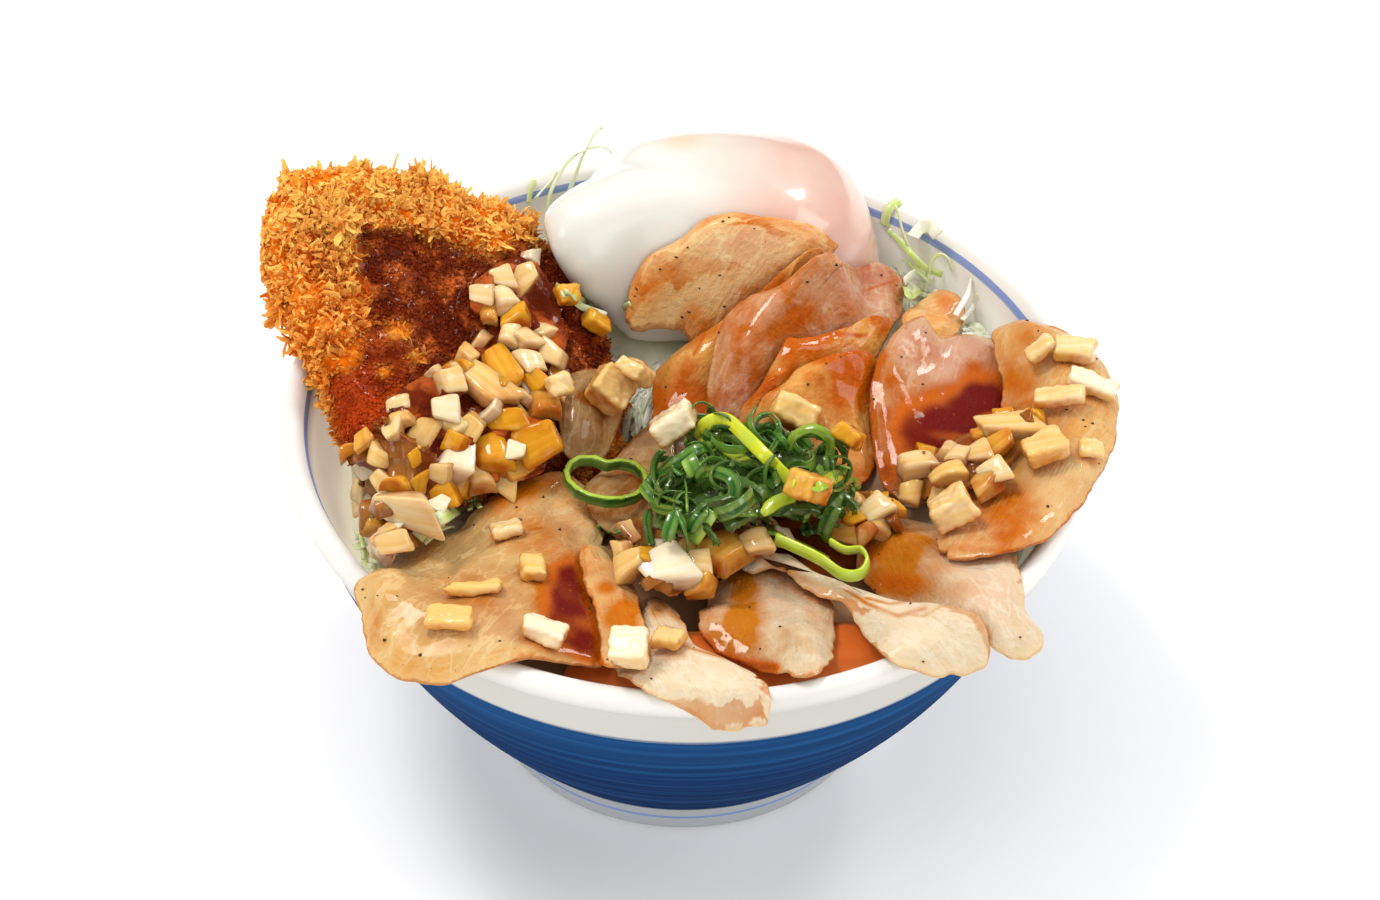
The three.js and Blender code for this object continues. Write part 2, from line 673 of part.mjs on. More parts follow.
// The roast pork in the order it was laid, lowest first. Plans in the bowl's own frame.
const slices = [
  {
    name: 'pork_left', look: 'pork', sides: 24, thickness: 2.4, salt: 1, droop: 0.25,
    outline: [
      [-66.5, -69], [-64, -78.5], [-62, -82.5], [-49.5, -86.5], [-39.5, -84.5], [-28, -81],
      [-22.5, -79.5], [-17, -81], [-15, -73], [-16, -61], [-17.5, -45], [-17.5, -32.5], [-16.5, -20],
      [-22.5, -9], [-29.5, -9], [-36.5, -13.5], [-42, -16], [-46, -19], [-52, -26.5], [-58, -26.5],
      [-62.5, -31], [-64, -53.5], [-68, -61], [-70.5, -63.5],
    ],
    spine: [[-52, -66], [-29, -39]],
  },
  {
    name: 'pork_under_cutlet', look: 'pork', sides: 14, thickness: 1.8, salt: 2,
    outline: [
      [-28.5, -2], [-26, -8.5], [-19.5, -4.5], [-16, 3.5], [-14.5, 13.5], [-17, 17.5], [-23.5, 15.5],
      [-28.5, 12],
    ],
    spine: [[-22, 5]],
  },
  {
    name: 'pork_middle', look: 'pork', sides: 14, thickness: 1.8, salt: 3,
    outline: [
      [-22.5, -14], [-20.5, -25.5], [-16, -30], [-9.5, -30.5], [-6.5, -22.5], [-4.5, -10], [-2.5, 4],
      [-6, 11.5], [-10.5, 8], [-16.5, -3.5],
    ],
    spine: [[-12, -9]],
  },
  {
    name: 'pork_front_right', look: 'palePork', sides: 22, thickness: 2.2, salt: 4, droop: 0.3,
    outline: [
      [37, -41.5], [44.5, -51], [54, -63], [63, -72], [68, -74.5], [71.5, -74], [74.5, -71.5],
      [76, -66], [73.5, -63], [71, -48], [70.5, -34.5], [60, -27.5], [49.5, -23], [42.5, -22.5],
      [38, -28.5],
    ],
    spine: [[47, -36], [64, -63]],
  },
  {
    name: 'pork_front_round', look: 'palePork', sides: 22, thickness: 2, salt: 5,
    outline: [
      [2.5, -63], [11, -74], [14.5, -75.5], [24, -85], [29, -82], [33, -68], [33.5, -64],
      [32.5, -55.5], [32.5, -46.5], [25, -42.5], [17.5, -38.5], [12, -40.5], [8.5, -43], [6, -47],
      [4.5, -52],
    ],
    spine: [[19, -60]],
  },
  {
    name: 'pork_over_rim', look: 'palePork', sides: 22, thickness: 2, salt: 6,
    droop: 2.6, stiffness: 2, spreadBy: 1,
    outline: [
      [-9, -55.5], [-10.5, -68], [-14.5, -74.5], [-14, -78.5], [-9, -88], [3, -93], [9.5, -95],
      [11, -94.2], [18.5, -92.5], [19.5, -90], [16, -81], [13, -77], [5, -71], [2, -64.5],
      [-3.5, -49.5], [-8, -46.5],
    ],
    spine: [[-5, -68], [11, -90]],
  },
  {
    name: 'pork_strip', look: 'pork', sides: 20, thickness: 2, salt: 7,
    outline: [
      [-22, -49], [-20, -59], [-17.5, -68], [-15.5, -82.5], [-11, -83.5], [-6.5, -82], [-6, -76],
      [-7.5, -67], [-10.5, -48], [-15.5, -36.5], [-19, -35.5], [-22.5, -40],
    ],
    spine: [[-18, -47], [-11, -76]],
  },
  {
    name: 'pork_folded', look: 'palePork', sides: 30, thickness: 2.2,
    salt: 8, droop: 0.5, fractions: [1, 0.6, 0.3],
    outline: [
      [14.5, -47], [19.5, -46], [24, -51], [27.5, -56.5], [32.5, -58.5], [37.5, -67.5], [42.5, -78.5],
      [51.5, -80.5], [60.5, -78], [64, -76], [64, -71.5], [63, -69.5], [56.5, -65], [52, -60.5],
      [42.5, -54], [32, -48.5], [25, -39.5], [22, -37.5], [19, -37], [14.5, -39.5], [11.5, -42.5],
    ],
    spine: [[16, -43], [33, -53], [51, -72]],
  },
  {
    name: 'pork_by_egg', look: 'pork', sides: 24, thickness: 2.6, salt: 9,
    outline: [
      [1.5, 42], [-3, 39.5], [-9, 38], [-14, 35.5], [-15.5, 31], [-14.5, 28.5], [-3, 30], [2.5, 27.5],
      [16, 30], [28, 35.5], [33.5, 43.5], [26.5, 43], [16, 42.5], [6.5, 43],
    ],
    spine: [[-3, 34], [11, 37]],
  },
  {
    name: 'pork_fan_1', look: 'pork', sides: 22, thickness: 2.4, salt: 10,
    outline: [
      [27, 37], [22, 34.5], [10, 29.5], [-3.5, 25.5], [-8, 23], [-8.5, 15.5], [-7.5, 8], [0.5, 6.5],
      [9.5, 6], [18.5, 15.5], [27.5, 29], [32.5, 38],
    ],
    spine: [[3, 20], [22, 31]],
  },
  {
    name: 'pork_fan_2', look: 'pinkPork', sides: 22, thickness: 2.4, salt: 11,
    outline: [
      [13, 28], [8, 25.5], [3.5, 10.5], [6, 4], [10.5, 1], [23, 6], [34, 11.5], [43.5, 28.5],
      [49, 40.5], [50, 48.5], [50.5, 56], [45.5, 54.5], [40, 46.5], [31, 35.5], [19.5, 28.5],
    ],
    spine: [[16, 15], [34, 34]],
  },
  {
    name: 'pork_fan_3', look: 'pork', sides: 20, thickness: 2.2, salt: 12,
    outline: [
      [19, 13.5], [16, 9], [12.5, 6], [10.5, 1.5], [14, -2], [25, 0], [36.5, 10], [44.5, 26], [47, 36],
      [36, 26.5], [25.5, 19.5], [20, 17],
    ],
    spine: [[23, 10], [34, 20]],
  },
  {
    name: 'pork_fan_4', look: 'pork', sides: 22, thickness: 2.2, salt: 13,
    outline: [
      [20.5, 7], [14.5, 3], [14, 0], [12.5, -2.5], [21, -9], [32, -16], [41.5, -9.5], [41.5, 2.5],
      [41.5, 9.5], [43, 15.5], [42, 21], [31, 15.5], [22.5, 9.5],
    ],
    spine: [[29, 5]],
  },
  {
    name: 'pork_curl', look: 'pork', sides: 14, thickness: 2, salt: 14,
    outline: [
      [50.5, 29], [57.5, 31], [63, 40], [64.5, 46], [61.5, 50.5], [57, 52], [52, 46], [48, 35.5],
    ],
    spine: [[57, 42]],
  },
  {
    name: 'pork_pink', look: 'pinkPork', sides: 22, thickness: 2.4, salt: 15,
    outline: [
      [40, 5], [41, -6.5], [45, -16.5], [53.5, -19.5], [66, -9.5], [72, 0], [76, 12.5], [74, 25],
      [70, 34.5], [64.5, 37], [58, 31.5], [54, 36.5], [46, 27.5], [42.5, 19.5],
    ],
    spine: [[54, 14], [59, -1]],
  },
  {
    name: 'pork_right', look: 'pork', sides: 28, thickness: 2.6, salt: 16, droop: 0.15,
    outline: [
      [68.5, 26], [70.5, 13], [68, 1], [63, -11], [57.5, -21], [54, -37], [55, -50], [59.5, -49.5],
      [65, -50], [71.5, -48], [82, -37], [89, -25], [93.5, -13.5], [95.5, -2.5], [96.5, 7], [95, 14],
      [91.5, 22], [80.5, 30], [72, 35.5], [68.5, 32.5],
    ],
    spine: [[83, 7], [69, -22]],
  },
];
for (const slice of slices) add(slice.name, layOver(slice), looks[slice.look]);

// Heaps of diced onion. Each piece: x, y, length, width, height and heading in degrees.
const onionHeaps = [
  {
    name: 'onion_cutlet', sides: 18,
    outline: [
      [-50, 27.5], [-42.5, 35.5], [-35, 38], [-27, 21], [-28, 4], [-28, -8], [-36.5, -19],
      [-47.5, -18.5], [-56, -19], [-66, -14.5], [-66.5, -8.5], [-57.5, 4], [-49, 11], [-45, 19],
    ],
    spine: [[-41, 17], [-46, -6]],
    pieces: [
      [-37.5, 30.5, 9, 7, 5, 20], [-42, 28, 8, 7, 5, 70], [-47, 23.5, 8, 7, 5, 10],
      [-41.5, 22.5, 8, 7, 5, 40], [-46.5, 21, 7, 8, 4, 100], [-40, 14, 8, 7, 5, 50],
      [-36, 13, 9, 6, 4, -30], [-34.5, 10, 8, 6, 5, 10], [-31.5, 13.5, 9, 6, 4, -50],
      [-46.5, 3, 15, 9, 5, -55], [-41.5, 0, 15, 8, 5, -60], [-52.5, -2.5, 9, 8, 6, 15],
      [-53, -8.5, 8, 8, 6, -5], [-31.5, 0, 9, 10, 6, 60], [-40.5, -8.5, 11, 7, 5, -15],
      [-57.5, -14.5, 8, 12, 4, -25], [-50.5, -12, 9, 8, 5, 30], [-63, -13, 7, 6, 4, 0],
      [-50, -16.5, 9, 11, 6, -20], [-52, -18.5, 11, 7, 5, -10], [-41, -14, 11, 10, 4, 20],
      [-33, -9, 12, 10, 6, -40], [-45, -17.5, 11, 5, 4, -35],
    ],
  },
  {
    name: 'onion_side', sides: 12,
    outline: [
      [-73.5, -14], [-67, -15.5], [-56, -21], [-50, -23.5], [-51, -29.5], [-57.5, -43], [-62, -51.5],
      [-70, -22], [-73.5, -17.5],
    ],
    spine: [[-63, -18]],
    pieces: [
      [-68, -20.5, 14, 8, 4, -10], [-71.5, -20, 9, 7, 5, 15], [-60, -33.5, 12, 10, 5, -5],
      [-56, -33.5, 12, 9, 5, -5], [-66.5, -31, 8, 6, 5, 30], [-61.5, -50, 8, 6, 5, 10],
      [-64.5, -26.5, 7, 6, 4, 60],
    ],
  },
  {
    name: 'onion_middle', sides: 14,
    outline: [
      [-15, -30], [-9.5, -27.5], [-1, -29], [7.5, -24], [18.5, -25], [25, -32.5], [18.5, -45],
      [11, -43.5], [7, -50.5], [1.5, -57.5], [-6.5, -61], [-12.5, -45],
    ],
    spine: [[-7, -35], [12, -31]],
    pieces: [
      [-10.5, -50, 8, 9, 5, 20], [-3.5, -53.5, 9, 12, 6, -20], [2.5, -46, 8, 7, 5, 30],
      [4.5, -53.5, 9, 8, 5, -10], [9, -43, 8, 12, 5, -35], [16, -44, 7, 6, 4, 10],
      [-6.5, -58.5, 8, 6, 4, 40], [-1, -42, 7, 6, 5, 70], [-13, -39.5, 7, 7, 4, 15],
    ],
  },
  {
    name: 'onion_right', sides: 14,
    outline: [
      [46, -12.5], [52.5, -8], [60.5, -5], [69.5, 3], [76.5, -2], [78.5, -8], [72.5, -18], [65.5, -26],
      [59.5, -25], [46, -18.5],
    ],
    spine: [[54, -14], [71, -4]],
    pieces: [
      [71, -8, 15, 7, 3.5, 5], [67, -13, 8, 6, 4, 30], [62.5, -17.5, 8, 7, 5, -15],
      [57, -20, 9, 8, 5, 20], [50.5, -16, 11, 5, 3.5, 30], [48.5, -19.5, 8, 7, 4, 0],
      [65, -26, 7, 9, 5, -20], [60, -24, 6, 5, 4, 50],
    ],
  },
  {
    name: 'onion_centre', sides: 10,
    outline: [
      [32, -19], [36, -15.5], [41.5, -18.5], [47, -24.5], [45.5, -35], [40, -36.5], [35, -33.5],
      [32, -26],
    ],
    spine: [[39, -23]],
    pieces: [
      [35.5, -26, 8, 8, 5, 10], [35.5, -32.5, 8, 7, 5, -20], [40, -31.5, 9, 9, 5, 30],
      [43.5, -29.5, 7, 6, 4, 10], [38, -35.5, 7, 6, 4, 60],
    ],
  },
];

function onionHeapShape(heap) {
  const core = layOver({ ...heap, thickness: 1.4, stiffness: 3, wave: 0, fractions: [1, 0.5] });
  const before = Float64Array.from(tops);
  stamp(core);
  const pieces = heap.pieces.map(([x, y, length, width, height, heading], i) => {
    const size = [length, width, height].map((v) => v * onionScale);
    const tilt = [0.35 * (scatter(i, 4) - 0.5), 0.35 * (scatter(i, 5) - 0.5)];
    return setDown(onionDice(...size, i + heap.name.length), x, y, heading, tilt, 1.4);
  });
  tops.set(before);
  return fuse(core, pieces, placed);
}

for (const heap of onionHeaps) add(heap.name, onionHeapShape(heap), looks.onion);

// Shredded scallion: arched ribbons on a low core. Each: x, y, half length, rise, heading and width.
const scallionCore = {
  sides: 14, thickness: 3, stiffness: 3, wave: 0.6, fractions: [1, 0.5],
  outline: [
    [-7, -10.5], [-1.5, -0.5], [7.5, -0.5], [16, -3.5], [25, -4.5], [31.5, -8.5], [36, -20.5],
    [33.5, -32], [27, -32.5], [18, -43.5], [9.5, -43], [1.5, -48.5], [-5, -50.5], [-7.5, -28],
  ],
  spine: [[1, -20], [25, -15]],
};
const ribbons = [
  [-3, -28.5, 6, 6, 75, 3.5], [3, -24, 7, 7, 100, 4.5], [-2.5, -45.5, 6, 5, 80, 3.5],
  [5.5, -44, 8, 5, 30, 4], [11, -36, 8, 5, -25, 4.5], [17.5, -11, 5, 6, 10, 2.5],
  [27.5, -15, 8, 6, -10, 3], [30.5, -30, 8, 4, -30, 4], [21.5, -38.5, 8, 3, 10, 4.5],
  [28, -32, 7, 4, -50, 4], [9, -10, 11, 4, -35, 4], [16.5, -20.5, 14, 4, -45, 3.5],
  [14.5, -42.5, 7, 3, 30, 4], [3.5, -46.5, 6, 4, -50, 3.5],
];

function scallionShape() {
  const core = layOver(scallionCore);
  const before = Float64Array.from(tops);
  stamp(core);
  const pieces = ribbons.map(([x, y, half, rise, heading, width], i) => {
    const base = heightOn(tops, x, y) - 0.8;
    const lean = 0.25 * (scatter(i, 7) - 0.5);
    return archedStrip(x, y, base, half, rise, heading, width, scallionWall, lean);
  });
  tops.set(before);
  return fuse(core, pieces, placed);
}

add('scallion_shreds', scallionShape(), looks.scallion);

// A cut ring of scallion from its outline, standing on edge as high as it was sliced.
function scallionRing(outline, x, y, sliced, wall) {
  const points = outline.map(([u, v]) => new THREE.Vector3(u, v, 0));
  const ring = stripAlong(points, new THREE.Vector3(0, 0, 1), sliced, wall, true);
  return setDown(ring, x, y, 0, [0, 0], 0);
}

const heartOutline = [...Array(16)].map((_, i) => {
  const a = i / 16 * 2 * Math.PI;
  const notch = 3.3 * Math.exp(-(((a - Math.PI / 2) / 0.42) ** 2));
  return [(heartRadius - notch) * 1.06 * Math.cos(a), (heartRadius - notch) * 1.18 * Math.sin(a)];
});
const curlOutline = [...Array(14)].map((_, i) => {
  const a = i / 14 * 2 * Math.PI;
  return [9 * Math.cos(a), 4.4 * Math.sin(a) - 2 * Math.cos(a) + 1.4 * Math.cos(2 * a)];
});
add('scallion_heart', scallionRing(heartOutline, -17.5, -16.5, 2.6, 1.5), looks.scallion);
add('scallion_curl', scallionRing(curlOutline, 31.5, -47.5, 3, 1.3), looks.youngScallion);

// Single pieces of onion: x, y, length, width, height and heading in degrees.
const singleOnions = [
  [-38.5, -34.5, 8, 7, 2.2, 20], [-31.5, -52, 6, 9, 3, 10], [-43.5, -62, 14, 4, 2.2, 8],
  [-47.5, -74, 12, 6, 2.4, -5], [-28, -74.5, 11, 7, 4, -12], [-10.5, -81.5, 9, 9, 5, -5],
  [-17.5, 7.5, 11, 11, 7, -20], [-12, 8, 8, 9, 4, -40], [-3, -7.5, 12, 9, 6, 12],
  [24, -1, 13, 8, 4, -15], [26, -37, 9, 9, 7, 40], [35, -17.5, 7, 14, 4, -25],
  [77.5, -18.5, 12, 9, 5, 15], [87.5, -17, 7, 5, 2, 10], [57, -37, 11, 9, 7, 10],
  [86, 16, 11, 7, 3.5, -10], [89.5, 4, 14, 6, 3, -12], [81.5, -1.5, 14, 5, 3, -8],
  [78.5, 16, 8, 6, 2.5, 20], [-28.5, -1.5, 7, 6, 4, 30], [-2.5, -75, 8, 6, 3, -20],
  [-28, 28.5, 7, 5, 4, 30], [-21.5, 27.5, 7, 5, 4, 0],
];
singleOnions.forEach(([x, y, length, width, height, heading], i) => {
  const size = [length, width, height].map((v) => v * onionScale);
  const name = `onion_${String(i + 1).padStart(2, '0')}`;
  add(name, setDown(onionDice(...size, 40 + i), x, y, heading, [0, 0], 0), looks.onion);
});

// Shreds of cabbage arched on the bed: x, y, heading, half length, rise and width.
const archedShreds = [
  [-47, -20, -25, 6, 3, 2], [-54, -22, 10, 5, 3, 2.2], [-70, -27, 100, 4, 3, 2],
  [-11, 28, 60, 5, 3, 1.8],
];
// Shreds that stand up between the egg and the wall at the back left, and beside the pork at the back
// right, as points from the bed up.
const standingShreds = [
  [[-35, 66, 69], [-35, 69, 80], [-34, 73, 90], [-30, 77, 97], [-23, 80.5, 98], [-18, 82.5, 93]],
  [[-39, 62, 69], [-39, 65, 80], [-38, 69, 88], [-35, 74, 93], [-30, 78, 92]],
  [[-32, 69, 69], [-32, 72, 82], [-29, 77, 93], [-25, 80, 101], [-22, 82, 103]],
  [[-30, 70, 69], [-30, 73.5, 82], [-26, 78, 90], [-20, 81, 92], [-15, 83, 95], [-12, 84, 99]],
  [[54, 56, 72], [53.5, 59, 82], [50.5, 62, 88], [48.5, 64, 92], [46.8, 66.5, 94.5]],
  [[55, 55.5, 72], [54, 58, 83], [53, 60, 89], [55, 60.5, 91.5], [57.5, 59.5, 91]],
  [[52.5, 58, 72], [51.8, 60.5, 83], [51, 63, 88], [49.5, 66, 91.5], [47, 69, 92]],
  [[55, 56, 72], [55.5, 57, 82], [57, 57.5, 87], [59, 57, 87.5], [61, 55.5, 84]],
  [[53, 57, 72], [52, 58.5, 80], [51.5, 59.5, 85], [53, 58.5, 88], [55, 57.5, 88]],
];
const shredThickness = 0.9;
const arched = archedShreds.map(([x, y, heading, half, rise, width], i) => {
  const turn = THREE.MathUtils.degToRad(heading);
  const endHeight = (way) => {
    const reachOut = way * half;
    return heightOn(bedMap, x + reachOut * Math.cos(turn), y + reachOut * Math.sin(turn));
  };
  const base = Math.min(endHeight(1), endHeight(-1)) - 0.6;
  const lean = 0.8 * (scatter(i, 7) - 0.5);
  return archedStrip(x, y, base, half, rise, heading, width, shredThickness, lean);
});
const standing = standingShreds.map((points) => {
  const path = points.map(([x, y, z]) => new THREE.Vector3(x, y, z));
  return stripAlong(path, new THREE.Vector3(0.8, 0.5, 0.3), 1.8, shredThickness);
});
const shredPieces = [...arched, ...standing];
const others = placed.filter((piece) => piece.name !== 'cabbage');
cabbageMesh.geometry = fuse(cabbageMesh.geometry, shredPieces, others);

serving.position.set(bowlAxis[0], bowlAxis[1], 0);
export default serving;
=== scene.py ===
import math

import bmesh
import bpy
import numpy as np
from mathutils import Matrix, Vector
from mathutils.bvhtree import BVHTree


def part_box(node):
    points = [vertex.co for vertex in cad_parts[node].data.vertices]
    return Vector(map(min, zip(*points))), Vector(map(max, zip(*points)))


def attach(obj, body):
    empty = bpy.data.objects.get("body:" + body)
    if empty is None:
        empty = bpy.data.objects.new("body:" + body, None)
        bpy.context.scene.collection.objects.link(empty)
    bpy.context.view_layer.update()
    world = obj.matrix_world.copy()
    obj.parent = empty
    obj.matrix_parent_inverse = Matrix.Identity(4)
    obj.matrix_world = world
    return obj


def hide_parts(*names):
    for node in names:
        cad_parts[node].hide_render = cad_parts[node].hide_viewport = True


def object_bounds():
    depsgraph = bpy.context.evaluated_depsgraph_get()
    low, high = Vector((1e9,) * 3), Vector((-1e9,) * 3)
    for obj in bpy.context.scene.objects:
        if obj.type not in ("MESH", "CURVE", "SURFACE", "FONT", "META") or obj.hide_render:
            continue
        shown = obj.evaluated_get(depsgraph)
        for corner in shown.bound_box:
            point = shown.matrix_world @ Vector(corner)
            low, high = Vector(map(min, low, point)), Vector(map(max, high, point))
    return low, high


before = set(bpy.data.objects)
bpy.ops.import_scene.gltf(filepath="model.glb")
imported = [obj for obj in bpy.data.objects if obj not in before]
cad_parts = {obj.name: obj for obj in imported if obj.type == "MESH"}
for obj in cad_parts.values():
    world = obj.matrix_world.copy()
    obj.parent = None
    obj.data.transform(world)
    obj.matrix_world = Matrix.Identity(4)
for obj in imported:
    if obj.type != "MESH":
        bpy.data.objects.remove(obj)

scene = bpy.context.scene
cadBox = [list(map(float, corner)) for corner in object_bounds()]
dice = np.random.default_rng(11)
mm = 0.001
print("frame loaded, box", cadBox)

# camera, light, floor

camera = {
    "place": (0.001028, -0.565613, 0.606687),
    "ahead": (0.0, 0.73064, -0.68276),
    "rollDegrees": 1.73,
    "lens": 90.34,
    "sensor": 36.0,
    "pixelsWide": 1380,
    "pixelsHigh": 900,
}

lights = [
    # name, place, aim, size, watts, colour
    ("keyLight", (-0.5, 0.18, 1.25), (0.0, 0.0, 0.07), 0.35, 7.0, (1.0, 0.985, 0.96)),
    ("frontFill", (0.35, -1.35, 0.75), (0.0, 0.0, 0.06), 0.8, 2.4, (1.0, 0.99, 0.98)),
    ("leftFill", (-1.2, -0.45, 0.6), (0.0, 0.0, 0.07), 0.5, 1.6, (1.0, 1.0, 1.0)),
    ("rightFill", (1.3, 0.1, 0.9), (0.0, 0.0, 0.07), 0.6, 3.4, (1.0, 1.0, 1.0)),
    ("backRim", (0.8, 0.8, 1.0), (-0.02, 0.0, 0.08), 0.3, 4.2, (1.0, 1.0, 1.0)),
]
stageLook = {
    "floor": (0.98, 0.98, 0.98), "world": (1.0, 1.0, 1.0), "worldStrength": 0.86, "worldGloss": 0.12,
    "floorReach": 3.0,
}

ahead = Vector(camera["ahead"]).normalized()
level = Vector((1, 0, 0))
upright = level.cross(ahead)
roll = math.radians(camera["rollDegrees"])
cameraRight = level * math.cos(roll) + upright * math.sin(roll)
cameraUp = -level * math.sin(roll) + upright * math.cos(roll)
cameraPlace = Vector(camera["place"])
focalPixels = camera["lens"] / camera["sensor"] * camera["pixelsWide"]


def makeStage():
    lens = bpy.data.cameras.new("photoCamera")
    lens.lens, lens.sensor_width = camera["lens"], camera["sensor"]
    lens.clip_start, lens.clip_end = 0.05, 20
    view = bpy.data.objects.new("photoCamera", lens)
    turn = Matrix((cameraRight, cameraUp, -ahead)).transposed()
    view.matrix_world = Matrix.Translation(cameraPlace) @ turn.to_4x4()
    scene.collection.objects.link(view)
    scene.camera = view
    for name, place, aim, size, watts, colour in lights:
        lamp = bpy.data.lights.new(name, "AREA")
        lamp.energy, lamp.size, lamp.color = watts, size, colour
        holder = bpy.data.objects.new(name, lamp)
        holder.location = place
        holder.rotation_euler = (Vector(aim) - Vector(place)).to_track_quat("-Z", "Y").to_euler()
        scene.collection.objects.link(holder)
    world = bpy.data.worlds.new("paleRoom")
    world.use_nodes = True
    sky = world.node_tree.nodes["Background"]
    sky.inputs["Color"].default_value = (*stageLook["world"], 1)
    path = world.node_tree.nodes.new("ShaderNodeLightPath")
    dimmer = world.node_tree.nodes.new("ShaderNodeMapRange")
    dimmer.inputs["To Min"].default_value = stageLook["worldStrength"]
    dimmer.inputs["To Max"].default_value = stageLook["worldGloss"]
    world.node_tree.links.new(path.outputs["Is Glossy Ray"], dimmer.inputs["Value"])
    world.node_tree.links.new(dimmer.outputs["Result"], sky.inputs["Strength"])
    scene.world = world
    scene.view_settings.view_transform = "Standard"
    floorMesh = bpy.data.meshes.new("paleFloor")
    far = stageLook["floorReach"]
    corners = [(x * far, y * far, 0) for x, y in ((-1, -1), (1, -1), (1, 1), (-1, 1))]
    floorMesh.from_pydata(corners, [], [(0, 1, 2, 3)])
    floor = bpy.data.objects.new("paleFloor", floorMesh)
    scene.collection.objects.link(floor)
    paint = bpy.data.materials.new("paleFloor")
    paint.use_nodes = True
    shader = paint.node_tree.nodes["Principled BSDF"]
    shader.inputs["Base Color"].default_value = (*stageLook["floor"], 1)
    shader.inputs["Roughness"].default_value = 0.9
    shader.inputs["Specular IOR Level"].default_value = 0.1
    floorMesh.materials.append(paint)


makeStage()
print("stage made")


# Where points lie in the photo's pixels, and what a pixel looks at.
def toPixels(points):
    away = np.asarray(points) - np.array(cameraPlace)
    depth = away @ np.array(ahead)
    across = camera["pixelsWide"] / 2 + focalPixels * (away @ np.array(cameraRight)) / depth
    down = camera["pixelsHigh"] / 2 - focalPixels * (away @ np.array(cameraUp)) / depth
    return across, down


def sightLine(x, y):
    side = (x - camera["pixelsWide"] / 2) / focalPixels
    rise = (camera["pixelsHigh"] / 2 - y) / focalPixels
    return (ahead + cameraRight * side + cameraUp * rise).normalized()


def treeOf(objects):
    points, faces = [], []
    for thing in objects:
        start = len(points)
        points += [v.co.copy() for v in thing.data.vertices]
        faces += [[start + i for i in p.vertices] for p in thing.data.polygons]
    return BVHTree.FromPolygons(points, faces)


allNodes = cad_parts


def treeWithout(*names):
    return treeOf([node for name, node in allNodes.items() if name not in names])


toppingTree = treeWithout("bowl", "rice")
onionTree = treeOf([node for name, node in allNodes.items() if name.startswith("onion")])

# number helpers

def smooth(values, low, high):
    t = np.clip((values - low) / (high - low), 0, 1)
    return t * t * (3 - 2 * t)


latticeSides = 32
unset = 1e9


# Soft random values between -1 and 1, as far apart as size.
def cloud(points, size, seed):
    lattice = np.random.default_rng(seed).uniform(-1, 1, (latticeSides,) * 3)
    p = np.asarray(points, float) / size + 100
    if p.shape[1] == 2:
        p = np.column_stack([p, np.full(len(p), 5.5)])
    cell = np.floor(p).astype(int)
    t = p - cell
    t = t * t * (3 - 2 * t)
    total = np.zeros(len(p))
    for corner in range(8):
        step = np.array([corner & 1, corner >> 1 & 1, corner >> 2 & 1])
        share = np.prod(np.where(step, t, 1 - t), axis=1)
        i, j, k = ((cell + step) % latticeSides).T
        total += share * lattice[i, j, k]
    return total


def dab(x, y, middleX, middleY, wide, high, turnDegrees=0):
    turn = math.radians(turnDegrees)
    dx, dy = x - middleX, y - middleY
    u = (dx * math.cos(turn) + dy * math.sin(turn)) / wide
    v = (dy * math.cos(turn) - dx * math.sin(turn)) / high
    return np.exp(-(u * u + v * v))


def awayFrom(x, y, path):
    nearest = np.full(len(x), unset)
    for (ax, ay), (bx, by) in zip(path, path[1:]):
        along = ((x - ax) * (bx - ax) + (y - ay) * (by - ay)) / ((bx - ax) ** 2 + (by - ay) ** 2)
        t = np.clip(along, 0, 1)
        nearest = np.minimum(nearest, np.hypot(x - ax - t * (bx - ax), y - ay - t * (by - ay)))
    return nearest


def stroke(x, y, path, width):
    return np.exp(-((awayFrom(x, y, path) / width) ** 2))


def patch(x, y, path, softness):
    closed = path + path[:1]
    away = awayFrom(x, y, closed)
    inside = np.zeros(len(x), bool)
    for (ax, ay), (bx, by) in zip(closed, closed[1:]):
        edge = (bx - ax) * (y - ay) / ((by - ay) or 1e-9) + ax
        inside ^= ((ay > y) != (by > y)) & (x < edge)
    return smooth(np.where(inside, away, -away), -softness, softness)


# mesh helpers

def unit(vectors):
    return vectors / np.maximum(np.linalg.norm(vectors, axis=-1, keepdims=True), 1e-9)


# The middle, size and outward direction of each four-sided face.
def faceFrames(points, faces):
    corners = points[faces]
    cross = np.cross(corners[:, 2] - corners[:, 0], corners[:, 3] - corners[:, 1])
    return corners.mean(1), np.linalg.norm(cross, axis=1), unit(cross)


def keptInside(points, margin=0.05 * mm):
    return np.clip(points, np.array(cadBox[0]) + margin, np.array(cadBox[1]) - margin)


def makePiece(name, points, faces, material, masks=None, isSmooth=True):
    mesh = bpy.data.meshes.new(name)
    mesh.from_pydata(np.asarray(points, float).tolist(), [], [list(map(int, f)) for f in faces])
    mesh.update()
    mesh.polygons.foreach_set("use_smooth", [isSmooth] * len(mesh.polygons))
    for key, values in (masks or {}).items():
        layer = mesh.attributes.new(key, "FLOAT", "POINT")
        layer.data.foreach_set("value", np.array(np.broadcast_to(values, len(points)), np.float32))
    mesh.materials.append(material)
    piece = bpy.data.objects.new(name, mesh)
    scene.collection.objects.link(piece)
    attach(piece, "root")
    return piece


def nodePoints(name):
    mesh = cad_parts[name].data
    mesh.calc_loop_triangles()
    points = np.empty(len(mesh.vertices) * 3)
    mesh.vertices.foreach_get("co", points)
    corners = np.empty(len(mesh.loop_triangles) * 3, np.int32)
    mesh.loop_triangles.foreach_get("vertices", corners)
    return points.reshape(-1, 3), corners.reshape(-1, 3)


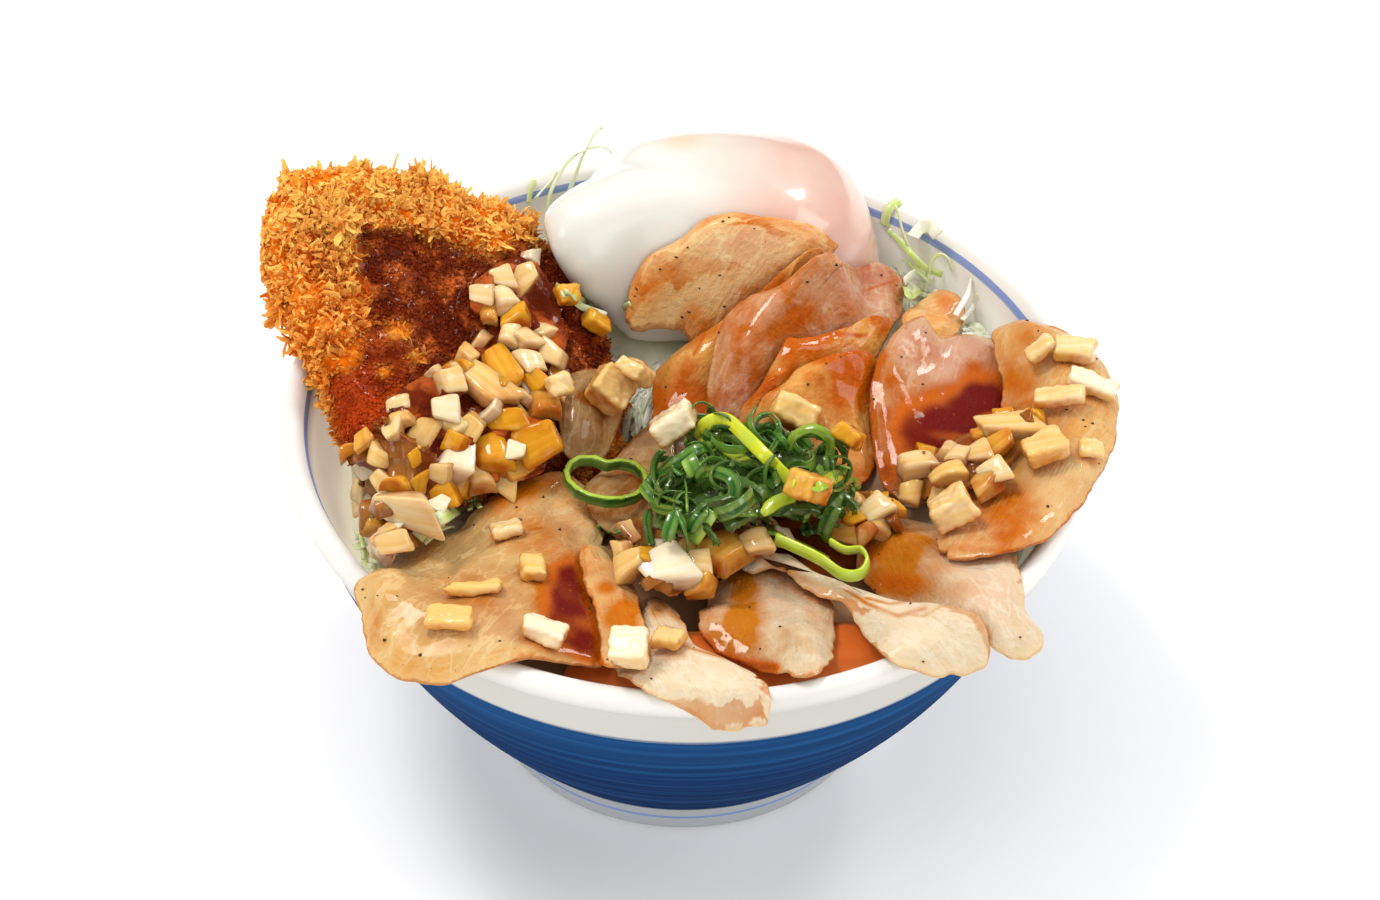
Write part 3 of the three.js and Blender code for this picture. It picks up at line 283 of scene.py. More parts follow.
# The upper and lower heights of a CAD node over a fine grid of its plan.
def heightMaps(name, step=0.5 * mm, pad=16, soften=3):
    points, corners = nodePoints(name)
    low = points[:, :2].min(0) - pad * step
    count = np.ceil((points[:, :2].max(0) - low) / step).astype(int) + pad
    top, bottom = np.full(count, -unset), np.full(count, unset)
    for a, b, c in points[corners]:
        area = (b[0] - a[0]) * (c[1] - a[1]) - (c[0] - a[0]) * (b[1] - a[1])
        if abs(area) < 1e-10:
            continue
        first = np.maximum(0, np.floor((np.minimum(np.minimum(a, b), c)[:2] - low) / step).astype(int))
        last = np.ceil((np.maximum(np.maximum(a, b), c)[:2] - low) / step).astype(int) + 1
        gx, gy = np.meshgrid(np.arange(first[0], last[0]), np.arange(first[1], last[1]), indexing="ij")
        x, y = low[0] + gx * step, low[1] + gy * step
        shareA = ((b[0] - x) * (c[1] - y) - (c[0] - x) * (b[1] - y)) / area
        shareB = ((c[0] - x) * (a[1] - y) - (a[0] - x) * (c[1] - y)) / area
        shareC = 1 - shareA - shareB
        covered = np.minimum(np.minimum(shareA, shareB), shareC) > -1e-6
        z = (shareA * a[2] + shareB * b[2] + shareC * c[2])[covered]
        gx, gy = gx[covered], gy[covered]
        top[gx, gy] = np.maximum(top[gx, gy], z)
        bottom[gx, gy] = np.minimum(bottom[gx, gy], z)
    known = top > -unset
    shifts = np.arange(-3 * soften, 3 * soften + 1)
    weights = np.exp(-(shifts / soften) ** 2 / 2)

    def blur(grid):
        for axis in (0, 1):
            grid = sum(weight * np.roll(grid, shift, axis) for shift, weight in zip(shifts, weights))
        return grid

    share = blur(known.astype(float))
    result = {"low": low, "step": step}
    for key, grid in (("top", top), ("bottom", bottom)):
        spreadOut = blur(np.where(known, grid, 0)) / np.maximum(share, 1e-9)
        result[key] = np.where(share > 1e-6, spreadOut, grid[known].mean())
    return result


def readMap(maps, key, x, y):
    grid = maps[key]
    u = np.clip((x - maps["low"][0]) / maps["step"], 0, grid.shape[0] - 1.001)
    v = np.clip((y - maps["low"][1]) / maps["step"], 0, grid.shape[1] - 1.001)
    i, j = u.astype(int), v.astype(int)
    s, t = u - i, v - j
    near = grid[i, j] * (1 - s) + grid[i + 1, j] * s
    far = grid[i, j + 1] * (1 - s) + grid[i + 1, j + 1] * s
    return near * (1 - t) + far * t


# The plan outline of a CAD sheet, from its upright faces.
def planOutline(name):
    points, corners = nodePoints(name)
    sheet = points[corners]
    normals = np.cross(sheet[:, 1] - sheet[:, 0], sheet[:, 2] - sheet[:, 0])
    size = np.linalg.norm(normals, axis=1)
    isUpright = np.abs(normals[:, 2]) < 0.02 * np.maximum(size, 1e-12)
    spots, links = [], {}
    for face in sheet[isUpright]:
        keys = []
        for corner in face[:, :2]:
            for k, spot in enumerate(spots):
                if np.hypot(*(spot - corner)) < 0.05 * mm:
                    keys.append(k)
                    break
            else:
                spots.append(corner)
                keys.append(len(spots) - 1)
        different = sorted(set(keys))
        if len(different) == 2:
            a, b = different
            links.setdefault(a, set()).add(b)
            links.setdefault(b, set()).add(a)
    start = next(iter(links))
    loop, previous, here = [start], None, start
    while True:
        following = [k for k in links[here] if k != previous]
        if not following or following[0] == start or len(loop) > len(links):
            break
        previous, here = here, following[0]
        if here in loop:
            break
        loop.append(here)
    outline = np.array([spots[k] for k in loop])
    area = np.sum(outline[:, 0] * np.roll(outline[:, 1], -1) - np.roll(outline[:, 0], -1) * outline[:, 1])
    return outline if area > 0 else outline[::-1]


# Points of a Catmull-Rom curve, from the second of four corners up to the third.
def bent(corners, steps):
    p0, p1, p2, p3 = corners
    return [0.5 * (2 * p1 + (p2 - p0) * t + (2 * p0 - 5 * p1 + 4 * p2 - p3) * t * t
                   + (3 * p1 - p0 - 3 * p2 + p3) * t ** 3) for t in np.linspace(0, 1, steps, endpoint=False)]


def evenlySpaced(dense, count, isLoop=False):
    length = np.concatenate([[0], np.cumsum(np.linalg.norm(np.diff(dense, axis=0), axis=1))])
    wanted = np.linspace(0, length[-1], count, endpoint=not isLoop)
    return np.column_stack([np.interp(wanted, length, column) for column in dense.T])


def roundedLoop(points, count):
    dense, total = [], len(points)
    for i in range(total):
        dense += bent([points[(i + k) % total] for k in (-1, 0, 1, 2)], 12)
    return evenlySpaced(np.array(dense + [dense[0]]), count, isLoop=True)


def curveThrough(points, count):
    points = np.asarray(points, float)
    ends = np.vstack([2 * points[0] - points[1], points, 2 * points[-1] - points[-2]])
    dense = []
    for i in range(1, len(ends) - 2):
        dense += bent(ends[i - 1:i + 3], 8)
    return evenlySpaced(np.array(dense + [ends[-2]]), count)


def nearestOnLine(points, line):
    best = np.repeat(line[:1], len(points), 0)
    nearest = np.linalg.norm(points - best, axis=1)
    for a, b in zip(line, line[1:]):
        t = np.clip((points - a) @ (b - a) / max((b - a) @ (b - a), 1e-12), 0, 1)[:, None]
        found = a + (b - a) * t
        away = np.linalg.norm(points - found, axis=1)
        closer = away < nearest
        best[closer], nearest[closer] = found[closer], away[closer]
    return best


# material helpers

def tone(code):
    parts = [int(code[i:i + 2], 16) / 255 for i in (1, 3, 5)]
    return [c / 12.92 if c < 0.04045 else ((c + 0.055) / 1.055) ** 2.4 for c in parts] + [1.0]


class Recipe:
    # one material and the nodes that are added to it
    def __init__(self, name, isGroup=False):
        if isGroup:
            self.tree = bpy.data.node_groups.new(name, "ShaderNodeTree")
            self.shader = None
        else:
            self.material = bpy.data.materials.new(name)
            self.material.use_nodes = True
            self.tree = self.material.node_tree
            self.shader = self.tree.nodes["Principled BSDF"]

    def node(self, kind, **settings):
        item = self.tree.nodes.new(kind)
        for key, value in settings.items():
            setattr(item, key, value)
        return item

    def join(self, source, target):
        self.tree.links.new(source, target)

    def put(self, socket, value):
        if isinstance(value, bpy.types.NodeSocket):
            self.join(value, socket)
        else:
            socket.default_value = tone(value) if isinstance(value, str) else value

    def mix(self, share, first, second, blend="MIX"):
        item = self.node("ShaderNodeMix", data_type="RGBA", blend_type=blend)
        self.put(item.inputs["Factor"], share)
        self.put(item.inputs[6], first)
        self.put(item.inputs[7], second)
        return item.outputs[2]

    def math(self, operation, first, second=0.0, third=None, clamp=False):
        item = self.node("ShaderNodeMath", operation=operation, use_clamp=clamp)
        self.put(item.inputs[0], first)
        self.put(item.inputs[1], second)
        if third is not None:
            self.put(item.inputs[2], third)
        return item.outputs[0]

    def times(self, first, second, clamp=False):
        return self.math("MULTIPLY", first, second, clamp=clamp)

    def plus(self, first, second, clamp=False):
        return self.math("ADD", first, second, clamp=clamp)

    def minus(self, first, second):
        return self.math("SUBTRACT", first, second)

    def scaled(self, value, factor, offset):
        return self.math("MULTIPLY_ADD", value, factor, offset)

    def vector(self, *parts):
        item = self.node("ShaderNodeCombineXYZ")
        for socket, value in zip(item.inputs, parts):
            self.put(socket, value)
        return item.outputs[0]

    def step(self, value, low, high, outLow=0.0, outHigh=1.0):
        item = self.node("ShaderNodeMapRange", interpolation_type="SMOOTHSTEP")
        for socket, number in zip(item.inputs, (value, low, high, outLow, outHigh)):
            self.put(socket, number)
        return item.outputs[0]

    def mask(self, name):
        return self.node("ShaderNodeAttribute", attribute_name=name).outputs["Fac"]

    def noise(self, vector, scale, detail=4.0, rough=0.55):
        item = self.node("ShaderNodeTexNoise")
        for key, value in (("Vector", vector), ("Scale", scale), ("Detail", detail), ("Roughness", rough)):
            self.put(item.inputs[key], value)
        return item.outputs["Fac"]

    def place(self):
        return self.node("ShaderNodeTexCoord").outputs["Object"]

    def group(self, tree, **values):
        item = self.node("ShaderNodeGroup", node_tree=tree)
        for key, value in values.items():
            self.put(item.inputs[key], value)
        return item.outputs

    def patches(self, size, low, high):
        return self.group(unevenPatches, Place=self.place(), Size=size, Low=low, High=high)["Mask"]

    def fibres(self, stretch, fineness):
        return self.group(fibreGrain, Along=self.mask("grainAlong"), Across=self.mask("grainAcross"),
                          Stretch=stretch, Fineness=fineness)

    # the clear coat is a weight and a roughness, the soft flesh a weight, three reaches and a scale
    def finish(self, coat=(), flesh=(), **values):
        values.update(zip(("Coat_Weight", "Coat_Roughness"), coat))
        values.update(zip(("Subsurface_Weight", "Subsurface_Radius", "Subsurface_Scale"), flesh))
        for key, value in values.items():
            self.put(self.shader.inputs[key.replace("_", " ")], value)
        return self.material

    def bump(self, height, strength, distance):
        item = self.node("ShaderNodeBump")
        item.inputs["Strength"].default_value = strength
        item.inputs["Distance"].default_value = distance
        self.join(height, item.inputs["Height"])
        self.join(item.outputs["Normal"], self.shader.inputs["Normal"])


socketKinds = {"Place": "NodeSocketVector", "Color": "NodeSocketColor"}


def newGroup(name, inputs, outputs):
    recipe = Recipe(name, isGroup=True)
    for side, labels in (("INPUT", inputs), ("OUTPUT", outputs)):
        for label in labels:
            kind = socketKinds.get(label, "NodeSocketFloat")
            recipe.tree.interface.new_socket(label, in_out=side, socket_type=kind)
    recipe.source = recipe.node("NodeGroupInput").outputs
    recipe.sink = recipe.node("NodeGroupOutput").inputs
    return recipe


# Long meat or plant fibres along one direction, as a mask and a height.
def fibreGroup():
    g = newGroup("fibreGrain", ("Along", "Across", "Stretch", "Fineness"), ("Mask", "Height"))
    drawn = g.vector(g.times(g.source["Along"], g.source["Stretch"]),
                     g.times(g.source["Across"], g.source["Fineness"]))
    fine = g.noise(drawn, 1.0, 3.0)
    coarse = g.noise(drawn, 0.28, 2.0)
    g.join(g.step(coarse, 0.35, 0.68), g.sink["Mask"])
    g.join(g.plus(g.times(fine, 0.6), g.times(coarse, 0.4)), g.sink["Height"])
    return g.tree


# Uneven patches, such as where a glaze lies thicker.
def patchGroup():
    g = newGroup("unevenPatches", ("Place", "Size", "Low", "High"), ("Mask",))
    uneven = g.noise(g.source["Place"], g.source["Size"], 3.0, 0.5)
    g.join(g.step(uneven, g.source["Low"], g.source["High"]), g.sink["Mask"])
    return g.tree


fibreGrain = fibreGroup()
unevenPatches = patchGroup()

# the bowl

# The profile is radius and height in mm, from the foot's inside over the lip to the hollow's middle.
bowlLook = {
    "profile": [(0, 7.2), (39, 7.2), (41.5, 4), (42.3, 0.5), (43, 0.05), (45, 0.05), (46, 0.7),
                (46.7, 3.5), (47.2, 5.5), (48.6, 8.5), (50.4, 11.7), (54.6, 17), (60, 24.4), (66.4, 34),
                (72.3, 44), (77.2, 54), (81, 63), (84, 72), (85.9, 79), (86.4, 81.2), (87.6, 82.6),
                (89.1, 84.4), (89.85, 86.6), (89.6, 88.6), (88.4, 89.7), (86.8, 89.6), (85.3, 88.3),
                (84.2, 86), (82.9, 80), (79.2, 68.5), (73.4, 56.5), (65.6, 43.5), (56, 30.5), (42, 19.6),
                (24, 15), (0, 14.2)], "sides": 168, "glaze": "#ece9e3", "shade": "#dddad4",
    "band": "#0c2856", "bandDeep": "#091c42", "bandPale": "#2a649e", "paintedGlow": "#9c968c",
    "outerShade": "#c9c7bf", "footShadow": "#b0b5b8", "line": "#7690cc", "bandLow": 11.0, "bandHigh": 71.5,
    "footLine": 5.2, "lipLine": 84.55, "widest": 89.9, "paleRise": (38.0, 68.0), "shadowRise": (8.0, 60.0),
    "outerShadeFade": (83.5, 88.5), "footRadii": (44.0, 45.0), "lipRise": (84.5, 85.0),
    "hollowFade": (80.0, 87.0), "hollowSide": (-0.062, -0.03),
}
bowlLow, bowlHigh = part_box("bowl")
bowlMiddle = (Vector(bowlLow) + Vector(bowlHigh)) / 2
bowlX, bowlY = bowlMiddle.x, bowlMiddle.y


def glazeMaterial():
    look = bowlLook
    r = Recipe("bandedGlaze")
    split = r.node("ShaderNodeSeparateXYZ")
    r.join(r.place(), split.inputs[0])
    x = r.minus(split.outputs[0], bowlX)
    y = r.minus(split.outputs[1], bowlY)
    z = r.times(split.outputs[2], 1000.0)
    radius = r.times(r.math("SQRT", r.plus(r.times(x, x), r.times(y, y))), 1000.0)
    brushed = r.vector(r.times(x, 9.0), r.times(y, 9.0), r.times(z, 0.55))
    streak = r.noise(brushed, 1.0, 5.0, 0.6)
    broad = r.noise(brushed, 0.22, 2.0)
    wobble = r.times(r.minus(streak, 0.5), 6.0)
    height = r.plus(z, wobble)
    lower = r.step(height, look["bandLow"] - 0.5, look["bandLow"] + 1.1)
    upper = r.step(height, look["bandHigh"] - 1.6, look["bandHigh"] + 0.9, 1.0, 0.0)
    band = r.times(r.times(lower, upper), r.mask("outside"))
    blue = r.mix(r.step(broad, 0.38, 0.66), look["bandDeep"], look["band"])
    nearTop = r.step(z, *look["paleRise"])
    pale = r.scaled(r.step(streak, 0.35, 0.75), 0.35, r.times(nearTop, 0.3))
    blue = r.mix(pale, blue, look["bandPale"])
    glaze = r.mix(r.step(r.noise(r.place(), 26.0, 2.0), 0.4, 0.7), look["glaze"], look["shade"])
    # painted shade: below the lip the outside is greyer, darker towards the foot, with a painted contact
    # shadow at the foot
    outer = r.mix(r.step(z, *look["shadowRise"]), look["footShadow"], look["outerShade"])
    glaze = r.mix(r.times(r.mask("outside"), r.step(z, *look["outerShadeFade"], 1.0, 0.0)), glaze, outer)
    base = r.mix(band, glaze, blue)
    foot = r.math("COMPARE", z, look["footLine"], 0.55)
    foot = r.times(foot, r.step(radius, *look["footRadii"]))
    lip = r.times(r.math("COMPARE", radius, look["lipLine"], 0.36), r.step(z, *look["lipRise"]))
    lines = r.times(r.math("MAXIMUM", foot, lip), r.step(streak, 0.25, 0.5, 0.6, 0.95))
    base = r.mix(lines, base, look["line"])
    r.bump(r.noise(r.place(), 160.0, 2.0), 0.12, 0.0004)
    # painted glow: the inside wall below the lip glows faintly in grey, most on the left, to lighten it where
    # the food shades it
    hollow = r.times(r.minus(1.0, r.mask("outside")), r.step(z, *look["hollowFade"], 1.0, 0.0))
    hollow = r.times(hollow, r.step(x, *look["hollowSide"], 1.0, 0.35))
    paintedGlow = r.mix(hollow, (0, 0, 0, 1), look["paintedGlow"])
    return r.finish(Base_Color=base, Roughness=0.35, Specular_IOR_Level=0.0,
                    coat=(r.scaled(band, -0.36, 0.4), 0.12), Emission_Color=paintedGlow, Emission_Strength=1.0)


def makeBowl():
    profile = np.array(bowlLook["profile"], float)
    dense = []
    for i in range(len(profile) - 1):
        dense += bent([profile[min(max(i + k, 0), len(profile) - 1)] for k in (-1, 0, 1, 2)], 4)
    dense = np.array(dense[1:])
    dense[:, 0] = np.maximum(dense[:, 0], 0.3)
    dense[:, 1] = np.maximum(dense[:, 1], 0.02)
    sides, rows = bowlLook["sides"], len(dense)
    angle = np.linspace(0, 2 * math.pi, sides, endpoint=False)
    wobble = 1 + 0.0012 * np.sin(2 * angle + 0.6) + 0.0006 * np.sin(5 * angle)
    points = [(0, 0, profile[0][1])]
    for radius, z in dense:
        reach = np.minimum(radius * wobble, bowlLook["widest"])
        points += list(zip(reach * np.cos(angle), reach * np.sin(angle), np.full(sides, z)))
    points.append((0, 0, profile[-1][1]))
    faces = [(0, 1 + (j + 1) % sides, 1 + j) for j in range(sides)]
    for i in range(rows - 1):
        a, b = 1 + i * sides, 1 + (i + 1) * sides
        faces += [(a + j, a + (j + 1) % sides, b + (j + 1) % sides, b + j) for j in range(sides)]
    last = 1 + (rows - 1) * sides
    faces += [(last + j, last + (j + 1) % sides, len(points) - 1) for j in range(sides)]
    points = np.array(points) * mm + np.array([bowlX, bowlY, 0])
    outside = np.concatenate([[1], np.repeat(np.arange(rows) <= dense[:, 1].argmax(), sides), [0]])
    bowl = makePiece("glazedBowl", points, faces, glazeMaterial(), {"outside": outside})
    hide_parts("bowl")


makeBowl()
print("bowl made")

# thin slices

sheetLook = {
    "around": 208, "edgeSteps": (0, 0.1, 0.3, 0.6, 1.1, 1.8, 2.8), "innerSteps": 16, "rounding": 0.6,
    "edgeThickness": 0.34, "leastThickness": 0.6, "taper": 5.0, "onionReach": 2.6, "coverReach": 14,
}

porkLooks = {
    "tanPork": {"slot": "pork", "flesh": "#ecb664", "pale": "#f0d6a0", "pink": "#e6ac84",
                "amber": "#de9020", "skin": "#b06c30", "fat": "#eccc90"},
    "glazedPork": {"slot": "pork", "flesh": "#e0a044", "pale": "#eabc6c", "pink": "#dc9c60",
                   "amber": "#d48418", "skin": "#9c5824", "fat": "#e6b86c"},
    # the next look is a darker copy of the pork: painted shade for slices that lie in shade
    "dimPork": {"slot": "pork", "flesh": "#c09858", "pale": "#d8c090", "pink": "#c48c70",
                "amber": "#be7c24", "skin": "#906234", "fat": "#ccaa78"},
    "palePork": {"slot": "pale_pork", "flesh": "#dac29c", "pale": "#e4d6bc", "pink": "#e2bca2",
                 "amber": "#de9228", "skin": "#d4ae74", "fat": "#dec8a0"},
    "pinkPork": {"slot": "pink_pork", "flesh": "#d89c5c", "pale": "#e4c8ae", "pink": "#d8a08c",
                 "amber": "#d4841c", "skin": "#b07038", "fat": "#e6c08c"},
}
# the shade tint is a painted shade, multiplied into slices that lie in shade
filmLook = {"thin": "#c05c0e", "deep": "#6c0c03", "shade": "#c6bea6", "greyish": "#9a8c66"}


# A sauce film over a colour: orange where it is thin and dark red where it is deep.
def filmGroup():
    g = newGroup("sauceFilm", ("Color", "Amount"), ("Color",))
    thin = g.mix(g.step(g.source["Amount"], 0.0, 0.5), g.source["Color"], filmLook["thin"])
    g.join(g.mix(g.step(g.source["Amount"], 0.4, 0.95), thin, filmLook["deep"]), g.sink["Color"])
    return g.tree


sauceFilm = filmGroup()


def porkMaterial(name, look):
    r = Recipe(name)
    grain = r.fibres(0.14, 1.5)
    rim = r.mask("rimDistance")
    small = r.noise(r.place(), 900.0, 3.0)
    stain = r.patches(70.0, 0.42, 0.62)
    fleck = r.patches(330.0, 0.45, 0.75)
    base = r.mix(r.times(grain["Mask"], 0.5), look["flesh"], look["pale"])
    base = r.mix(r.times(r.mask("pink"), r.scaled(fleck, -0.3, 1.0)), base, look["pink"])
    base = r.mix(r.times(r.mask("white"), r.scaled(small, 0.6, 0.6), clamp=True), base, look["pale"])
    # greyer patches on the meat
    base = r.mix(r.mask("grey"), base, filmLook["greyish"])
    # pale lines that follow the edge
    along, across = r.mask("grainAlong"), r.mask("grainAcross")
    inward = r.vector(r.times(rim, 0.9), r.times(along, 0.09), r.times(across, 0.09))
    line = r.step(r.noise(inward, 1.0, 2.0), 0.46, 0.6)
    base = r.mix(r.times(line, r.step(rim, 2.0, 7.0, 0.6, 0.1)), base, look["fat"])
    # thin white sinews that wander over the cut face
    wandering = r.vector(r.times(along, 0.07), r.times(across, 0.16))
    sinew = r.math("ABSOLUTE", r.minus(r.noise(wandering, 1.0, 3.0), 0.5))
    base = r.mix(r.step(sinew, 0.008, 0.03, 0.7, 0.0), base, look["pale"])
    ragged = r.scaled(small, 1.1, r.minus(rim, 0.55))
    base = r.mix(r.step(ragged, 0.8, 2.2, 0.5, 0.0), base, look["fat"])
    base = r.mix(r.step(ragged, 0.1, 0.45, 0.6, 0.0), base, look["skin"])
    # the glaze: it tints what is below it
    blotch = r.patches(120.0, 0.5, 0.6)
    amber = r.scaled(stain, 0.22, r.scaled(blotch, 0.3, r.times(fleck, 0.12)))
    amber = r.times(amber, r.mask("wet"))
    amber = r.plus(amber, r.times(r.mask("amber"), r.scaled(stain, 0.35, 0.95)), clamp=True)
    base = r.mix(amber, base, look["amber"], "MULTIPLY")
    # painted shade: slices that lie in shade are darkened as a whole
    base = r.mix(r.mask("dim"), base, filmLook["shade"], "MULTIPLY")
    base = r.group(sauceFilm, Color=base, Amount=r.mask("sauce"))["Color"]
    spots = r.step(r.noise(r.place(), 760.0, 1.0, 0.4), 0.73, 0.78, 0.0, 0.55)
    base = r.mix(spots, base, look["skin"])
    wet = r.math("MAXIMUM", r.math("MAXIMUM", r.mask("sauce"), r.mask("amber")), r.mask("wet"))
    gloss = r.step(r.noise(r.place(), 110.0, 3.0), 0.3, 0.6, 0.25, 1.0)
    height = r.plus(grain["Height"], r.times(small, 0.8))
    r.bump(r.plus(height, r.times(r.noise(r.place(), 200.0, 3.0), 1.6)), 0.7, 0.0007)
    coat = r.times(r.step(wet, 0.05, 0.6, 0.3, 1.0), gloss)
    return r.finish(Base_Color=base, Roughness=r.step(wet, 0.0, 1.0, 0.5, 0.34), Specular_IOR_Level=0.05,
                    coat=(coat, 0.07), Coat_IOR=1.4, flesh=(0.2, (1.0, 0.45, 0.2), 0.0025))


porkMaterials = {name: porkMaterial(name, look) for name, look in porkLooks.items()}

